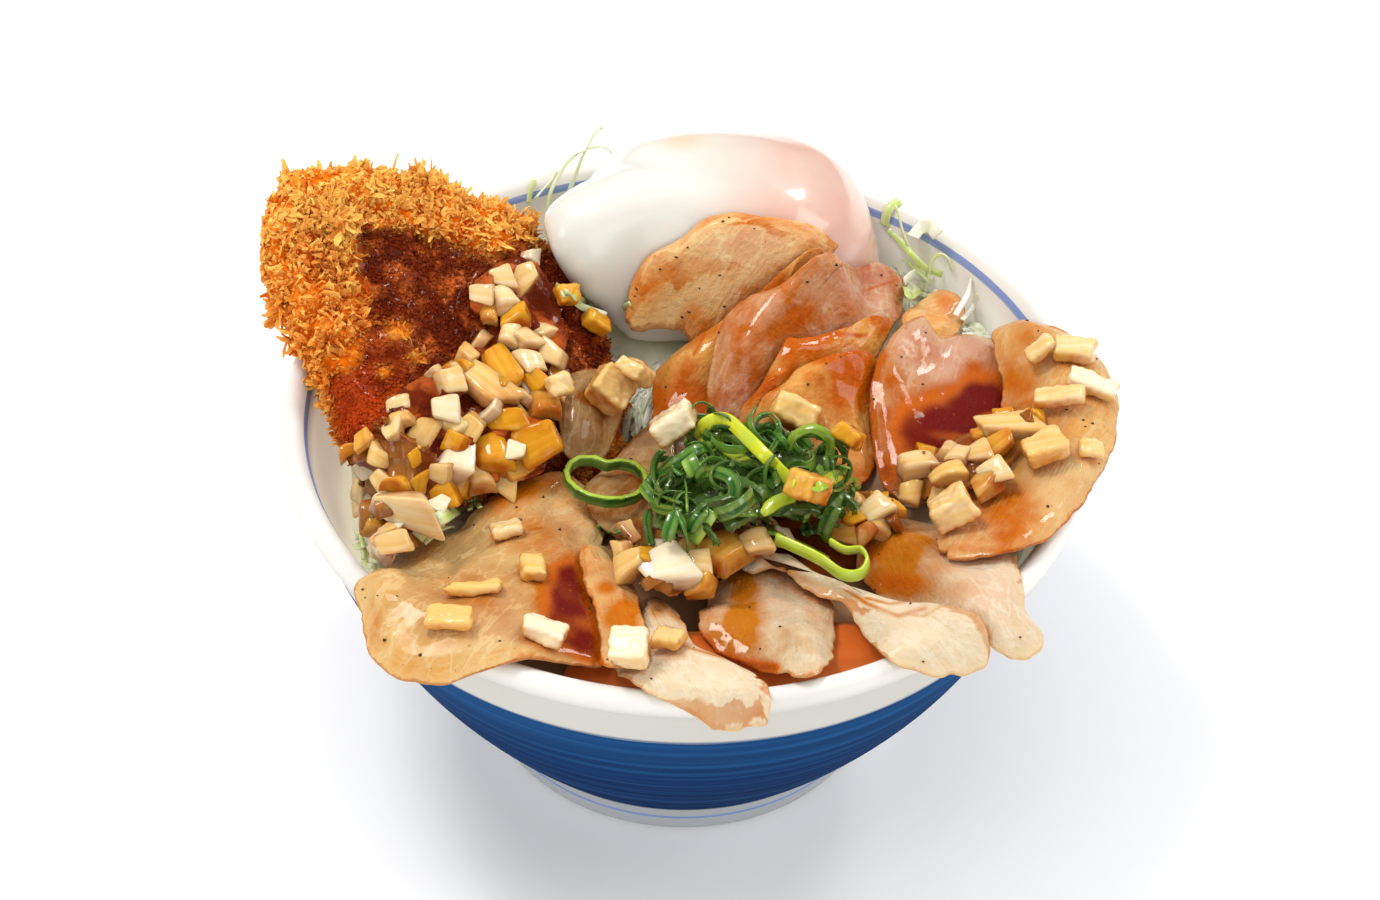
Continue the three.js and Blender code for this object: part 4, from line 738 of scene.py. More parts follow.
# Each slice: its node, its look, its middle line in mm, its fibre direction in degrees, and what is
# painted on it, in the photo's pixels. A dab is x, y, width, height, turn and strength, a stroke is its
# points, width and strength, and an area is "inside", its points, softness and strength.
slices = {
    "leftSlice": {
        "node": "pork_left", "look": "tanPork", "spine": [(-52, -66), (-29, -39)], "grain": 62,
        "ragged": 1.1, "glaze": 0.12, "dim": 0.35, "wet": 0.15,
        "grey": [(470, 590, 130, 70, 0, 0.28), ([(489, 526), (472, 545), (452, 572)], 7, 0.6)],
        "white": [(480, 585, 110, 50, -15, 0.45),
                  ([(455, 650), (500, 640), (545, 644), (590, 662)], 7, 0.55), (362, 597, 14, 20, 0, 0.5),
                  (440, 600, 30, 40, 20, 0.25), (560, 520, 26, 12, -20, 0.4)],
        "pink": [(565, 545, 34, 13, 10, 0.55), (470, 640, 60, 14, 5, 0.25)],
        "amber": [(515, 492, 44, 17, -18, 1.0), (540, 540, 50, 26, 35, 0.6), (470, 600, 80, 34, -8, 0.55),
                  (375, 625, 10, 26, 0, 0.5),
                  ("inside", [(530, 560), (578, 552), (604, 664), (560, 658), (530, 630)], 16, 0.9)],
        "sauce": [("inside", [(556, 565), (578, 558), (586, 590), (598, 625), (604, 664), (575, 655),
                              (552, 640), (545, 620), (548, 590)], 12, 0.85)]},
    "sliceUnderCutlet": {
        "node": "pork_under_cutlet", "look": "dimPork", "spine": [(-22, 5)], "grain": 80, "ragged": 0.3,
        "glaze": 0.15, "dim": 0.2, "wet": 0.9, "grey": [(585, 400, 24, 50, 10, 0.4)],
        "amber": [(612, 400, 20, 40, 20, 0.6)], "sauce": [(632, 380, 14, 26, 10, 0.5)],
        "white": [(578, 430, 10, 30, 8, 0.35)]},
    "middleSlice": {
        "node": "pork_middle", "look": "dimPork", "spine": [(-12, -9)], "grain": 60, "ragged": 0.3,
        "glaze": 0.25, "dim": 0.2, "wet": 0.9, "pink": [(640, 440, 30, 40, 20, 0.6)],
        "sauce": [(640, 380, 20, 26, 20, 0.55)], "amber": [(655, 400, 22, 30, 30, 0.7)],
        "grey": [(622, 470, 24, 30, 0, 0.3)], "white": [([(628, 428), (612, 446), (600, 470)], 4, 0.4)]},
    "frontRightSlice": {
        "node": "pork_front_right", "look": "palePork", "spine": [(47, -36), (64, -63)], "grain": 115,
        "ragged": 1.4, "dim": 0.15, "wet": 0.15,
        "pink": [(985, 590, 46, 34, 20, 0.7), (900, 545, 30, 20, 0, 0.4)],
        "amber": [(903, 552, 52, 40, 20, 0.9), (895, 580, 56, 22, 8, 1.0)],
        "sauce": [(893, 583, 34, 11, 5, 0.45), (868, 560, 12, 30, 15, 0.4)],
        "white": [(1010, 640, 40, 12, 10, 0.5)]},
    "frontRoundSlice": {
        "node": "pork_front_round", "look": "palePork", "spine": [(19, -60)], "grain": 85, "ragged": 1.6,
        "glaze": 0.15, "dim": 0.2, "wet": 0.6,
        "pink": [(720, 600, 26, 30, 0, 0.7), (802, 590, 20, 30, 0, 0.4)],
        "amber": [(742, 612, 20, 50, 5, 1.0), (706, 600, 26, 36, 0, 0.6),
                  ([(700, 570), (735, 556), (770, 560)], 7, 0.6), (735, 645, 40, 16, 20, 0.8)],
        "sauce": [([(690, 628), (712, 650), (745, 664), (775, 668)], 7, 0.65)],
        "white": [([(838, 630), (820, 655), (795, 668)], 8, 0.7)]},
    "rimSlice": {
        "node": "pork_over_rim", "look": "palePork", "spine": [(-5, -68), (11, -90)], "grain": 118,
        "ragged": 1.7, "wet": 0.1,
        "amber": [([(648, 570), (662, 605), (690, 628), (730, 640)], 5, 0.55),
                  ([(652, 610), (664, 634), (690, 648), (738, 662)], 1.6, 0.55),
                  ([(665, 625), (690, 636), (722, 650)], 2.2, 0.5), (655, 600, 12, 26, -20, 0.55)],
        "white": [(720, 690, 50, 26, 20, 0.6)]},
    "stripSlice": {
        "node": "pork_strip", "look": "tanPork", "spine": [(-18, -47), (-11, -76)], "grain": 100,
        "ragged": 0.9, "glaze": 0.25, "dim": 0.2, "wet": 0.5, "white": [(594, 570, 12, 30, -15, 0.5)],
        "amber": [(606, 588, 12, 9, 0, 0.7), (625, 622, 24, 26, 0, 0.95)],
        "sauce": [(628, 640, 20, 18, 0, 0.25),
                  ([(578, 560), (584, 600), (598, 650), (604, 668)], 2.2, 0.5)]},
    "foldedSlice": {
        "node": "pork_folded", "look": "palePork", "spine": [(16, -43), (33, -53), (51, -72)],
        "grain": 140, "ragged": 1.3, "dim": 0.1, "wet": 0.1,
        "amber": [([(755, 558), (782, 566), (812, 585), (845, 600)], 5, 0.45),
                  ([(846, 590), (868, 604), (898, 616), (926, 608)], 2.4, 0.6),
                  ([(866, 598), (890, 604), (912, 600)], 1.8, 0.6),
                  ([(905, 614), (925, 616), (945, 603)], 1.6, 0.5)], "pink": [(905, 602, 20, 8, 5, 0.4)],
        "white": [(930, 640, 50, 24, 10, 0.7)]},
    "sliceByEgg": {
        "node": "pork_by_egg", "look": "tanPork", "spine": [(-3, 34), (11, 37)], "grain": 20,
        "ragged": 1.1, "glaze": 0.12, "wet": 0.45,
        "white": [(745, 262, 76, 46, -20, 0.45), (690, 300, 50, 50, -30, 0.35),
                  ([(722, 228), (700, 241), (684, 262), (668, 292), (656, 312)], 3.6, 0.75),
                  (652, 330, 16, 18, 20, 0.45)],
        "pink": [(752, 250, 62, 34, -12, 0.8), (648, 342, 16, 14, 0, 0.6)],
        "amber": [([(672, 240), (690, 218), (715, 209), (760, 217), (805, 228)], 5, 0.4),
                  (655, 275, 14, 26, 25, 0.4), (688, 318, 18, 14, -30, 0.6),
                  (700, 335, 30, 10, -35, 0.5)]},
    "fanSliceOne": {
        "node": "pork_fan_1", "look": "glazedPork", "spine": [(3, 20), (22, 31)], "grain": 38,
        "ragged": 0.8, "glaze": 0.55, "wet": 0.85, "amber": [(715, 330, 30, 60, 30, 0.4)],
        # the white stroke is a pale seam along a fold, with a painted highlight on it
        "white": [([(772, 272), (729, 304), (704, 350)], 3, 0.5), (690, 385, 16, 30, 25, 0.4)],
        "sauce": [(660, 402, 26, 12, -20, 0.5), ([(708, 322), (700, 345), (694, 354)], 2.2, 0.5)]},
    "fanSliceTwo": {
        "node": "pork_fan_2", "look": "pinkPork", "spine": [(16, 15), (34, 34)], "grain": 40,
        "ragged": 0.9, "glaze": 0.5, "dim": 0.1, "wet": 0.8,
        "pink": [(868, 280, 36, 30, 0, 1.0), (850, 330, 40, 20, 0, 0.5)],
        "white": [(850, 322, 26, 8, -25, 0.45), (760, 300, 20, 14, -40, 0.4),
                  (700, 385, 10, 26, 25, 0.5)],
        "amber": [(780, 330, 50, 24, -35, 0.6), (752, 362, 26, 24, 0, 0.8),
                  (800, 268, 40, 12, -25, 0.45)],
        "sauce": [([(788, 317), (806, 313)], 3, 0.6), ([(866, 290), (884, 284), (900, 279)], 1.4, 0.5),
                  (700, 404, 22, 8, -20, 0.45)]},
    "fanSliceThree": {
        "node": "pork_fan_3", "look": "glazedPork", "spine": [(23, 10), (34, 20)], "grain": 42,
        "ragged": 0.8, "glaze": 0.65, "wet": 0.9, "amber": [(790, 345, 60, 20, -30, 0.4)],
        "white": [(775, 345, 12, 34, 25, 0.6)],
        "sauce": [([(800, 345), (830, 333), (866, 336)], 2.6, 0.55)]},
    "fanSliceFour": {
        "node": "pork_fan_4", "look": "glazedPork", "spine": [(29, 5)], "grain": 96, "ragged": 0.8,
        "glaze": 0.65, "wet": 0.9, "amber": [(848, 385, 34, 44, 0, 0.85), (850, 360, 26, 22, 0, 0.4)],
        "white": [(783, 385, 22, 34, 20, 0.7), (866, 362, 8, 22, 0, 0.25)],
        "pink": [(775, 400, 20, 30, 0, 0.5)], "sauce": [(836, 440, 24, 12, 20, 0.35)]},
    "curledSlice": {
        "node": "pork_curl", "look": "tanPork", "spine": [(57, 42)], "grain": 30, "ragged": 1.0,
        "glaze": 0.35, "dim": 0.1, "white": [(962, 310, 8, 16, 0, 0.7)],
        "amber": [(945, 300, 14, 16, 0, 0.55)]},
    "pinkSlice": {
        "node": "pork_pink", "look": "pinkPork", "spine": [(54, 14), (59, -1)], "grain": 75,
        "ragged": 1.0, "glaze": 0.3, "dim": 0.3, "wet": 0.5,
        "pink": [("inside", [(884, 332), (914, 300), (938, 325), (968, 322), (1000, 335), (1000, 352),
                             (968, 376), (949, 394), (933, 397), (922, 381), (900, 354)], 9, 0.9)],
        "white": [([(900, 335), (925, 365), (938, 392)], 9, 0.6), (950, 372, 20, 14, 0, 0.5)],
        "amber": [(890, 395, 16, 50, 10, 0.6), (985, 372, 50, 20, -25, 0.7),
                  ([(880, 350), (872, 400), (876, 450), (890, 480)], 5, 0.9),
                  ("inside", [(886, 440), (900, 398), (940, 386), (972, 366), (1015, 362), (1040, 388),
                              (1024, 425), (985, 445), (949, 470), (900, 480)], 20, 1.0)],
        "sauce": [("inside", [(896, 430), (910, 408), (945, 396), (972, 378), (1011, 374), (1032, 388),
                              (1024, 412), (985, 424), (976, 447), (949, 456), (925, 460), (898, 452)],
                   24, 1.0), (885, 475, 12, 24, 0, 0.6)]},
    "rightSlice": {
        "node": "pork_right", "look": "tanPork", "spine": [(83, 7), (69, -22)], "grain": 70,
        "ragged": 1.3, "glaze": 0.2, "dim": 0.4, "wet": 0.35,
        "white": [("inside", [(1036, 470), (1075, 440), (1105, 440), (1112, 470), (1090, 510),
                              (1050, 522), (1030, 505)], 12, 1.0), (1050, 345, 40, 20, 10, 0.45),
                  (1092, 395, 16, 26, 0, 0.3)], "pink": [(1060, 490, 36, 34, 30, 0.55)],
        "amber": [(1015, 395, 30, 50, 0, 0.7), (998, 512, 46, 34, 10, 0.85), (1030, 330, 26, 50, 20, 0.6),
                  ([(950, 548), (1010, 552), (1060, 540)], 6, 0.5)],
        "sauce": [(1000, 430, 40, 26, -10, 0.6), (950, 480, 36, 16, 10, 0.6),
                  (905, 495, 20, 14, 10, 0.5)]},
}


def painted(x, y, plan, names):
    masks = {name: np.zeros(len(x)) for name in names}
    for name in names:
        for *data, strength in plan.get(name, []):
            if len(data) == 5:
                shape = dab(x, y, *data)
            elif data[0] == "inside":
                shape = patch(x, y, *data[1:])
            else:
                shape = stroke(x, y, *data)
            masks[name] = np.maximum(masks[name], shape * strength)
    return masks


# The rugged plan outline of a slice and how far each of its points was drawn in.
def sheetOutline(plan, seed):
    outline = roundedLoop(planOutline(plan["node"]), sheetLook["around"])
    along = np.roll(outline, -1, 0) - np.roll(outline, 1, 0)
    out = np.column_stack([along[:, 1], -along[:, 0]]) / np.linalg.norm(along, axis=1)[:, None]
    inset = 0.5 - 0.45 * cloud(outline, 6 * mm, seed) - 0.25 * cloud(outline, 1.8 * mm, seed + 1)
    bites = smooth(cloud(outline, 3 * mm, seed + 7), 0.3, 0.85)
    inset += 1.6 * bites * smooth(cloud(outline, 20 * mm, seed + 9), -0.3, 0.4)
    inset = np.maximum(inset, 0.02) * plan.get("ragged", 0.4) * mm
    return outline - out * inset[:, None], inset


# Rings from the outline to the middle line: plan, upper and lower height, and depth, of each.
def sheetRings(plan, seed, grainWay):
    look = sheetLook
    outline, inset = sheetOutline(plan, seed)
    spine = np.array(plan["spine"], float) * mm + np.array([bowlX, bowlY])
    middle = nearestOnLine(outline, spine)
    length = np.linalg.norm(outline - middle, axis=1)
    maps = heightMaps(plan["node"])
    depths = [np.minimum(d * mm, length * d / 9) for d in look["edgeSteps"]]
    start = depths[-1]
    depths += [start + (length - start) * k / look["innerSteps"] for k in range(1, look["innerSteps"] + 1)]
    rings = []
    for depth in depths:
        share = (depth / np.maximum(length, 1e-9))[:, None]
        flat = outline + (middle - outline) * share
        top = readMap(maps, "top", flat[:, 0], flat[:, 1])
        bottom = readMap(maps, "bottom", flat[:, 0], flat[:, 1])
        relief = 0.3 * cloud(flat, 4 * mm, seed + 2) + 0.16 * cloud(flat, 1.5 * mm, seed + 3)
        grooves = np.column_stack([flat @ grainWay * 0.16, flat @ [-grainWay[1], grainWay[0]]])
        relief = relief + 0.16 * cloud(grooves, 1.1 * mm, seed + 8)
        thick = np.maximum(top - bottom, look["leastThickness"] * mm)
        inward = smooth((depth + inset) / mm, 0, look["taper"])
        thick = thick * (look["edgeThickness"] + (1 - look["edgeThickness"]) * inward)
        top = bottom + thick + relief * mm * smooth(depth / mm, 0, 0.6)
        roundness = np.sqrt(np.clip(1 - (1 - np.clip(depth / (look["rounding"] * mm), 0, 1)) ** 2, 0, 1))
        centre = (top + bottom) / 2
        rings.append((flat, centre + thick / 2 * roundness, centre - thick / 2 * roundness, depth / mm))
    return rings


# Faces of the upper rings, one after the other, and of the fewer lower ones that follow them.
def sheetFaces(around, upper, lower):
    starts = [k * around for k in range(upper)]
    turned = [0] + [(upper + k) * around for k in range(lower)]
    faces = []
    for outer, inner in zip(starts, starts[1:]):
        for j in range(around):
            n = (j + 1) % around
            faces.append((outer + j, outer + n, inner + n, inner + j))
    for outer, inner in zip(turned, turned[1:]):
        for j in range(around):
            n = (j + 1) % around
            faces.append((outer + n, outer + j, inner + j, inner + n))
    return faces


# Sauce gathers round the onion, and where something lies over the slice a painted shade darkens it with amber
# and sauce colour.
def sauceAndPaintedShade(points, count):
    reach, height = sheetLook["onionReach"] * mm, sheetLook["coverReach"] * mm
    sauceAndShade = np.zeros(len(points))
    for k in range(count):
        spot = Vector(points[k])
        closeBy = onionTree.find_nearest(spot, reach)[3]
        if closeBy is not None:
            sauceAndShade[k] = 0.75 * (1 - closeBy / reach)
        over = toppingTree.ray_cast(spot + Vector((0, 0, 1.2 * mm)), Vector((0, -0.5, 0.86)), height)[3]
        if over is not None:
            sauceAndShade[k] = max(sauceAndShade[k], 0.5 * (1 - over / height))
    return sauceAndShade


def sheetMasks(points, plan, seed, turn, upperCount):
    x, y = toPixels(points)
    masks = painted(x, y, plan, ("pink", "white", "grey", "amber", "sauce"))
    flatX, flatY = points[:, 0] / mm, points[:, 1] / mm
    sway = 1.5 * cloud(points[:, :2], 14 * mm, seed + 4)
    masks["grainAlong"] = flatX * math.cos(turn) + flatY * math.sin(turn)
    masks["grainAcross"] = flatY * math.cos(turn) - flatX * math.sin(turn) + sway
    # the second of these is a painted shade over the whole slice, where it lies in shade
    masks["wet"], masks["dim"] = plan.get("wet", 0.3), plan.get("dim", 0.0)
    film = plan.get("glaze", 0) * (0.9 + 0.6 * cloud(points, 9 * mm, seed + 6))
    pale, rosy = cloud(points, 10 * mm, seed + 12), cloud(points, 12 * mm, seed + 13)
    masks["white"] = np.maximum(masks["white"], 0.5 * smooth(pale, 0.1, 0.55))
    masks["pink"] = np.maximum(masks["pink"], 0.55 * smooth(rosy, 0.15, 0.6))
    # amber and sauce round the onion, and painted shade under what lies over the slice
    sauceAndShade = sauceAndPaintedShade(points, upperCount)
    masks["amber"] = np.maximum(np.maximum(masks["amber"] * 1.2, film), sauceAndShade)
    masks["sauce"] = np.maximum(masks["sauce"], (sauceAndShade - 0.35) * 0.6)
    for key in ("amber", "sauce"):
        masks[key] = np.clip(masks[key] * (1 + 0.35 * cloud(points, 4 * mm, seed + 5)), 0, 1)
    return masks


def makeSheet(name, plan, material):
    look, node = sheetLook, plan["node"]
    seed = sum(map(ord, name))
    turn = math.radians(plan.get("grain", 0))
    rings = sheetRings(plan, seed, np.array([math.cos(turn), math.sin(turn)]))
    around, count = look["around"], len(rings)
    # the underside has fewer rings, because it hardly shows
    under = [k for k in range(1, count) if k < len(look["edgeSteps"]) or (count - 1 - k) % 4 == 0]
    lower = [rings[k] for k in under]
    points = [np.column_stack([flat, top]) for flat, top, _, _ in rings]
    points += [np.column_stack([flat, bottom]) for flat, _, bottom, _ in lower]
    points = keptInside(np.concatenate(points))
    masks = sheetMasks(points, plan, seed, turn, count * around)
    masks["rimDistance"] = np.concatenate([ring[3] for ring in rings + lower])
    piece = makePiece(name, points, sheetFaces(around, count, len(under)), material, masks)
    welded = bmesh.new()
    welded.from_mesh(piece.data)
    bmesh.ops.remove_doubles(welded, verts=welded.verts, dist=0.01 * mm)
    welded.to_mesh(piece.data)
    welded.free()
    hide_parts(node)
    return piece


sheets = {}
for name, plan in slices.items():
    look = plan["look"]
    sheets[name] = makeSheet(name, plan, porkMaterials[look])
print("slices made", len(sheets))

# sauce pools

sauceLook = {"deep": "#d0581c", "thin": "#ee9048", "dark": "#4c1806"}


def sauceMaterial():
    r = Recipe("brownSauce")
    deep = r.patches(70.0, 0.35, 0.65)
    thin = r.step(r.mask("rimDistance"), 0.5, 4.0, 0.9, 0.35)
    base = r.mix(r.times(thin, r.scaled(deep, 0.5, 0.5)), sauceLook["deep"], sauceLook["thin"])
    base = r.mix(r.mask("sauce"), base, sauceLook["dark"])
    r.bump(r.noise(r.place(), 300.0, 2.0), 0.15, 0.0004)
    return r.finish(Base_Color=base, Roughness=0.12, Specular_IOR_Level=0.4)


sauce = sauceMaterial()
pools = {
    "frontPool": {"node": "sauce_front", "spine": [(-4, -71), (30, -66)], "ragged": 0.1},
    "middlePool": {"node": "sauce_middle", "spine": [(6, -30), (26, -29)], "ragged": 0.1,
                   "sauce": [(760, 500, 300, 200, 0, 1.0)]},
}
for name, plan in pools.items():
    sheets[name] = makeSheet(name, plan, sauce)
print("pools made")

# soft shapes from the CAD

# A CAD node as an even, softened mesh: points, four-sided faces and normals.
def softened(name, voxel, rounds):
    copy = bpy.data.objects.new("softCopy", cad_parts[name].data.copy())
    scene.collection.objects.link(copy)
    even = copy.modifiers.new("even", "REMESH")
    even.mode, even.voxel_size = "VOXEL", voxel * mm
    soft = copy.modifiers.new("soft", "SMOOTH")
    soft.factor, soft.iterations = 0.5, rounds
    mesh = bpy.data.meshes.new_from_object(copy.evaluated_get(bpy.context.evaluated_depsgraph_get()))
    count = len(mesh.vertices)
    points, normals = np.empty(count * 3), np.empty(count * 3)
    mesh.vertices.foreach_get("co", points)
    mesh.vertices.foreach_get("normal", normals)
    corners = np.empty(len(mesh.loops), np.int32)
    mesh.loops.foreach_get("vertex_index", corners)
    used = copy.data
    bpy.data.objects.remove(copy)
    bpy.data.meshes.remove(used)
    bpy.data.meshes.remove(mesh)
    return points.reshape(-1, 3), corners.reshape(-1, 4), normals.reshape(-1, 3)


def pixelHit(tree, x, y):
    line = sightLine(x, y)
    place, normal = tree.ray_cast(cameraPlace, line)[:2]
    if place is None:
        return None, None
    return np.array(place), np.array(normal if normal.dot(line) < 0 else -normal)


# The hits of a row of pixels, without those that miss.
def hitsOf(tree, pixels):
    hits = [pixelHit(tree, x, y)[0] for x, y in pixels]
    return [hit for hit in hits if hit is not None]


print("helpers ready")

# the breaded cutlet

cutletLook = {
    "voxel": 0.85, "flakes": 9200, "crumbLength": (1.2, 3.9), "crumbWidth": (0.34, 0.86),
    "bigShare": 0.12, "flakeClearance": 1.6, "grains": 12500, "grainSize": (0.28, 0.62),
    "grainClearance": 1.2, "tuftShare": 0.3, "tuftCount": 150, "tuftLength": (1.8, 4.6),
    "gold": "#f88e08", "tip": "#ffcc68", "crevice": "#c84606",
    "sauceDark": "#6e240a", "sauceLight": "#cc6426", "wetCrust": "#c04410",
    "soaked": [(363, 225), (394, 225), (415, 230), (445, 245), (476, 250), (497, 258), (510, 243),
               (545, 245), (600, 250), (650, 330), (620, 430), (560, 500), (420, 580), (345, 490),
               (335, 449), (327, 397), (335, 379), (358, 361), (363, 335), (373, 305), (360, 274)],
    "edgeAt": (362, 425, 46, 78), "paintedLightRows": (190, 330),
    "golden": [(399, 331, 11, 8, 0), (415, 356, 7, 6, 0), (384, 372, 6, 6, 0)],
    "tufts": [(418, 172, 18, 22, 0), (335, 235, 20, 44, 0), (300, 210, 26, 30, 0), (540, 222, 26, 12, 0)],
}


def crustMaterial():
    look = cutletLook
    r = Recipe("breadCrust")
    tint = r.mask("tint")
    small = r.noise(r.place(), 700.0, 4.0)
    gold = r.mix(r.step(small, 0.35, 0.7, 0.0, 0.5), look["gold"], look["crevice"])
    # painted shade and light: the crust darkens towards the crevice colour in its hollows and lightens
    # towards the tip colour on raised parts
    gold = r.mix(r.times(tint, 0.85), gold, look["crevice"])
    gold = r.mix(r.times(r.mask("tip"), r.minus(1.0, tint)), gold, look["tip"])
    light = r.patches(150.0, 0.45, 0.62)
    wet = r.mix(r.times(light, r.plus(tint, 0.2), clamp=True), look["sauceDark"], look["sauceLight"])
    wet = r.mix(r.mask("edge"), wet, look["wetCrust"])
    soaked = r.mask("soaked")
    r.bump(r.plus(r.noise(r.place(), 500.0, 5.0), r.noise(r.place(), 1500.0, 2.0)), 0.8, 0.0007)
    shine = r.step(r.noise(r.place(), 130.0, 3.0), 0.42, 0.62, 0.08, 1.0)
    return r.finish(Base_Color=r.mix(soaked, gold, wet), Roughness=r.step(soaked, 0.2, 0.8, 0.62, 0.22),
                    Specular_IOR_Level=0.04, coat=(r.times(r.step(soaked, 0.2, 0.9, 0.0, 0.6), shine), 0.12),
                    flesh=(0.12, (1.0, 0.45, 0.15), 0.0012))


def soakedMask(points, normals):
    x, y = toPixels(points)
    look = cutletLook
    mask = patch(x + 9 * cloud(points, 3 * mm, 61), y + 9 * cloud(points, 3 * mm, 62), look["soaked"], 9)
    for spot in look["golden"]:
        mask = mask * (1 - np.minimum(1, 1.4 * dab(x, y, *spot)))
    edge = mask * dab(x, y, *look["edgeAt"])
    return mask * smooth(normals[:, 2], -0.25, 0.1), edge


# A crumb has four rings of three points: where each lies along the crumb, and how thick it is there.
ringShares, ringThickness = (0.0, 0.36, 0.72, 1.0), (0.8, 1.25, 1.1, 0.6)
crumbCorners = 3 * len(ringShares)


# Ragged crumbs that stand on a surface, each a bent tapering sliver.
def slivers(bases, normals, lengths, widths, lifts, seed):
    random = np.random.default_rng(seed)
    count = len(bases)
    tangent = unit(np.cross(normals, random.normal(size=(count, 3))))
    axis = unit(normals * lifts[:, None] + tangent)
    bend = unit(np.cross(axis, random.normal(size=(count, 3))))
    side = unit(np.cross(axis, bend))
    rings = []
    for share, thick in zip(ringShares, ringThickness):
        centre = bases + axis * (lengths * share)[:, None] + bend * (lengths * 0.3 * share ** 2)[:, None]
        twist = random.uniform(0, 0.5, count) + 1.3 * share
        for corner in range(3):
            angle = twist + corner * 2 * math.pi / 3
            reach = widths * thick * random.uniform(0.4, 1.35, count)
            rings.append(centre + side * (reach * np.cos(angle))[:, None]
                         + bend * (reach * 0.55 * np.sin(angle))[:, None])
    points = np.stack(rings, 1)
    pattern = [(2, 1, 0), (9, 10, 11)]
    for k in range(3):
        for c in range(3):
            n = (c + 1) % 3
            pattern.append((3 * k + c, 3 * k + n, 3 * k + 3 + n, 3 * k + 3 + c))
    return points, pattern


def crustRelief(points):
    layers = ((1.3, 6.5, 51), (1.1, 3.2, 52), (0.7, 1.6, 53))
    return sum(height * cloud(points, size * mm, seed) for height, size, seed in layers)


breadCrust = crustMaterial()


# Where crumbs of the crust start: some faces of the body, more likely where the weight is larger.
def crumbStarts(centres, weight, count, reach, others):
    chosen = dice.choice(len(centres), count, p=weight / weight.sum())
    return chosen[[others.find_nearest(Vector(centres[k]), reach * mm)[0] is None for k in chosen]]


def cutletBody():
    points, faces, normals = softened("cutlet", cutletLook["voxel"], 3)
    relief = crustRelief(points)
    points = keptInside(points + normals * (relief[:, None] - 0.5) * mm, 0.3 * mm)
    soaked, edge = soakedMask(points, normals)
    # painted shade in the hollows of the crust, painted light on its raised parts
    masks = {"tint": np.clip(0.7 - 0.4 * relief, 0, 1), "tip": 0.3 * smooth(relief, 0.3, 1.5),
             "soaked": soaked, "edge": edge}
    body = makePiece("cutletBody", points, faces, breadCrust, masks)
    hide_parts("cutlet")
    means = {"relief": relief[faces].mean(1), "soaked": soaked[faces].mean(1), "edge": edge[faces].mean(1)}
    return *faceFrames(points, faces), means


def crustCrumbs(centres, area, out, means, others):
    look = cutletLook
    x, y = toPixels(centres)
    weight = area * (1.25 - 0.6 * means["soaked"]) * np.where(out[:, 2] < -0.3, 0.35, 1.0)
    weight = weight * (0.35 + smooth(cloud(centres, 4 * mm, 55), -0.35, 0.5))
    for tuft in look["tufts"]:
        weight = weight * (1 + 1.3 * dab(x, y, *tuft))
    chosen = crumbStarts(centres, weight, look["flakes"], look["flakeClearance"], others)
    soft = means["soaked"][chosen]
    count = len(chosen)
    low, high = look["crumbLength"]
    lengths = (low + (high - low) * dice.beta(1.5, 2.6, count)) * (1 - 0.6 * soft) * mm
    thin, thick = look["crumbWidth"]
    widths = (thin + (thick - thin) * dice.random(count)) * (1 - 0.25 * soft) * mm
    isBig = dice.random(count) < look["bigShare"] * (1 - soft)
    lengths, widths = np.where(isBig, lengths * 1.5, lengths), np.where(isBig, widths * 1.45, widths)
    lifts = (0.1 + 1.5 * dice.random(count) ** 2) * (1 - 0.7 * soft)
    bases = centres[chosen] - out[chosen] * 0.35 * mm + dice.normal(0, 0.25, (count, 3)) * mm
    ways = out[chosen]
    # tufts: some crumbs stand close together and point the same way
    isTuft = np.flatnonzero((soft < 0.15) & (dice.random(count) < look["tuftShare"]))
    roots = dice.choice(isTuft, look["tuftCount"], replace=False)
    leans = unit(out[chosen[roots]] + dice.normal(0, 0.55, (len(roots), 3)))
    for group, root, lean in zip(np.array_split(isTuft, len(roots)), roots, leans):
        bases[group] = bases[root] + dice.normal(0, 0.75, (len(group), 3)) * mm
        ways[group] = unit(lean + dice.normal(0, 0.25, (len(group), 3)))
        lifts[group] = dice.uniform(0.9, 2.2, len(group))
        lengths[group] = dice.uniform(*look["tuftLength"], len(group)) * mm
        soft[group] = soft[root]
    shards, pattern = slivers(bases, ways, lengths, widths, lifts, 54)
    low, high = np.array(cadBox[0]) + 1e-5, np.array(cadBox[1]) - 1e-5
    inside = ((shards > low) & (shards < high)).all((1, 2))
    shards, soft = shards[inside], soft[inside]
    count = len(shards)
    quads = [[crumbCorners * k + i for i in face] for k in range(count) for face in pattern]
    share = np.tile(np.repeat(ringShares, 3), count)
    height = 0.45 - 0.3 * means["relief"][chosen][inside]
    own = np.repeat(np.clip(height + dice.normal(0, 0.22, count), 0, 1), crumbCorners)
    flat = shards.reshape(-1, 3)
    _, edge = soakedMask(flat, np.tile([0, 0, 1.0], (len(flat), 1)))
    # painted light: crumbs high in the camera's view, at the back of the cutlet, get less dark tint and
    # lighter yellow tips, and each crumb lightens towards its tip
    paintedLight = 1 - smooth(toPixels(flat)[1], *look["paintedLightRows"])
    paintedLightAndClumps = 0.8 + 0.35 * cloud(flat, 9 * mm, 57) + 0.5 * paintedLight
    masks = {"tint": own * (1 - 0.5 * paintedLight),
             "tip": np.clip((smooth(share, 0.0, 0.9) + 0.4 * paintedLight) * paintedLightAndClumps, 0, 1),
             "soaked": np.repeat(soft, crumbCorners), "edge": edge}
    makePiece("crustCrumbs", flat, quads, breadCrust, masks, isSmooth=False)
    return count


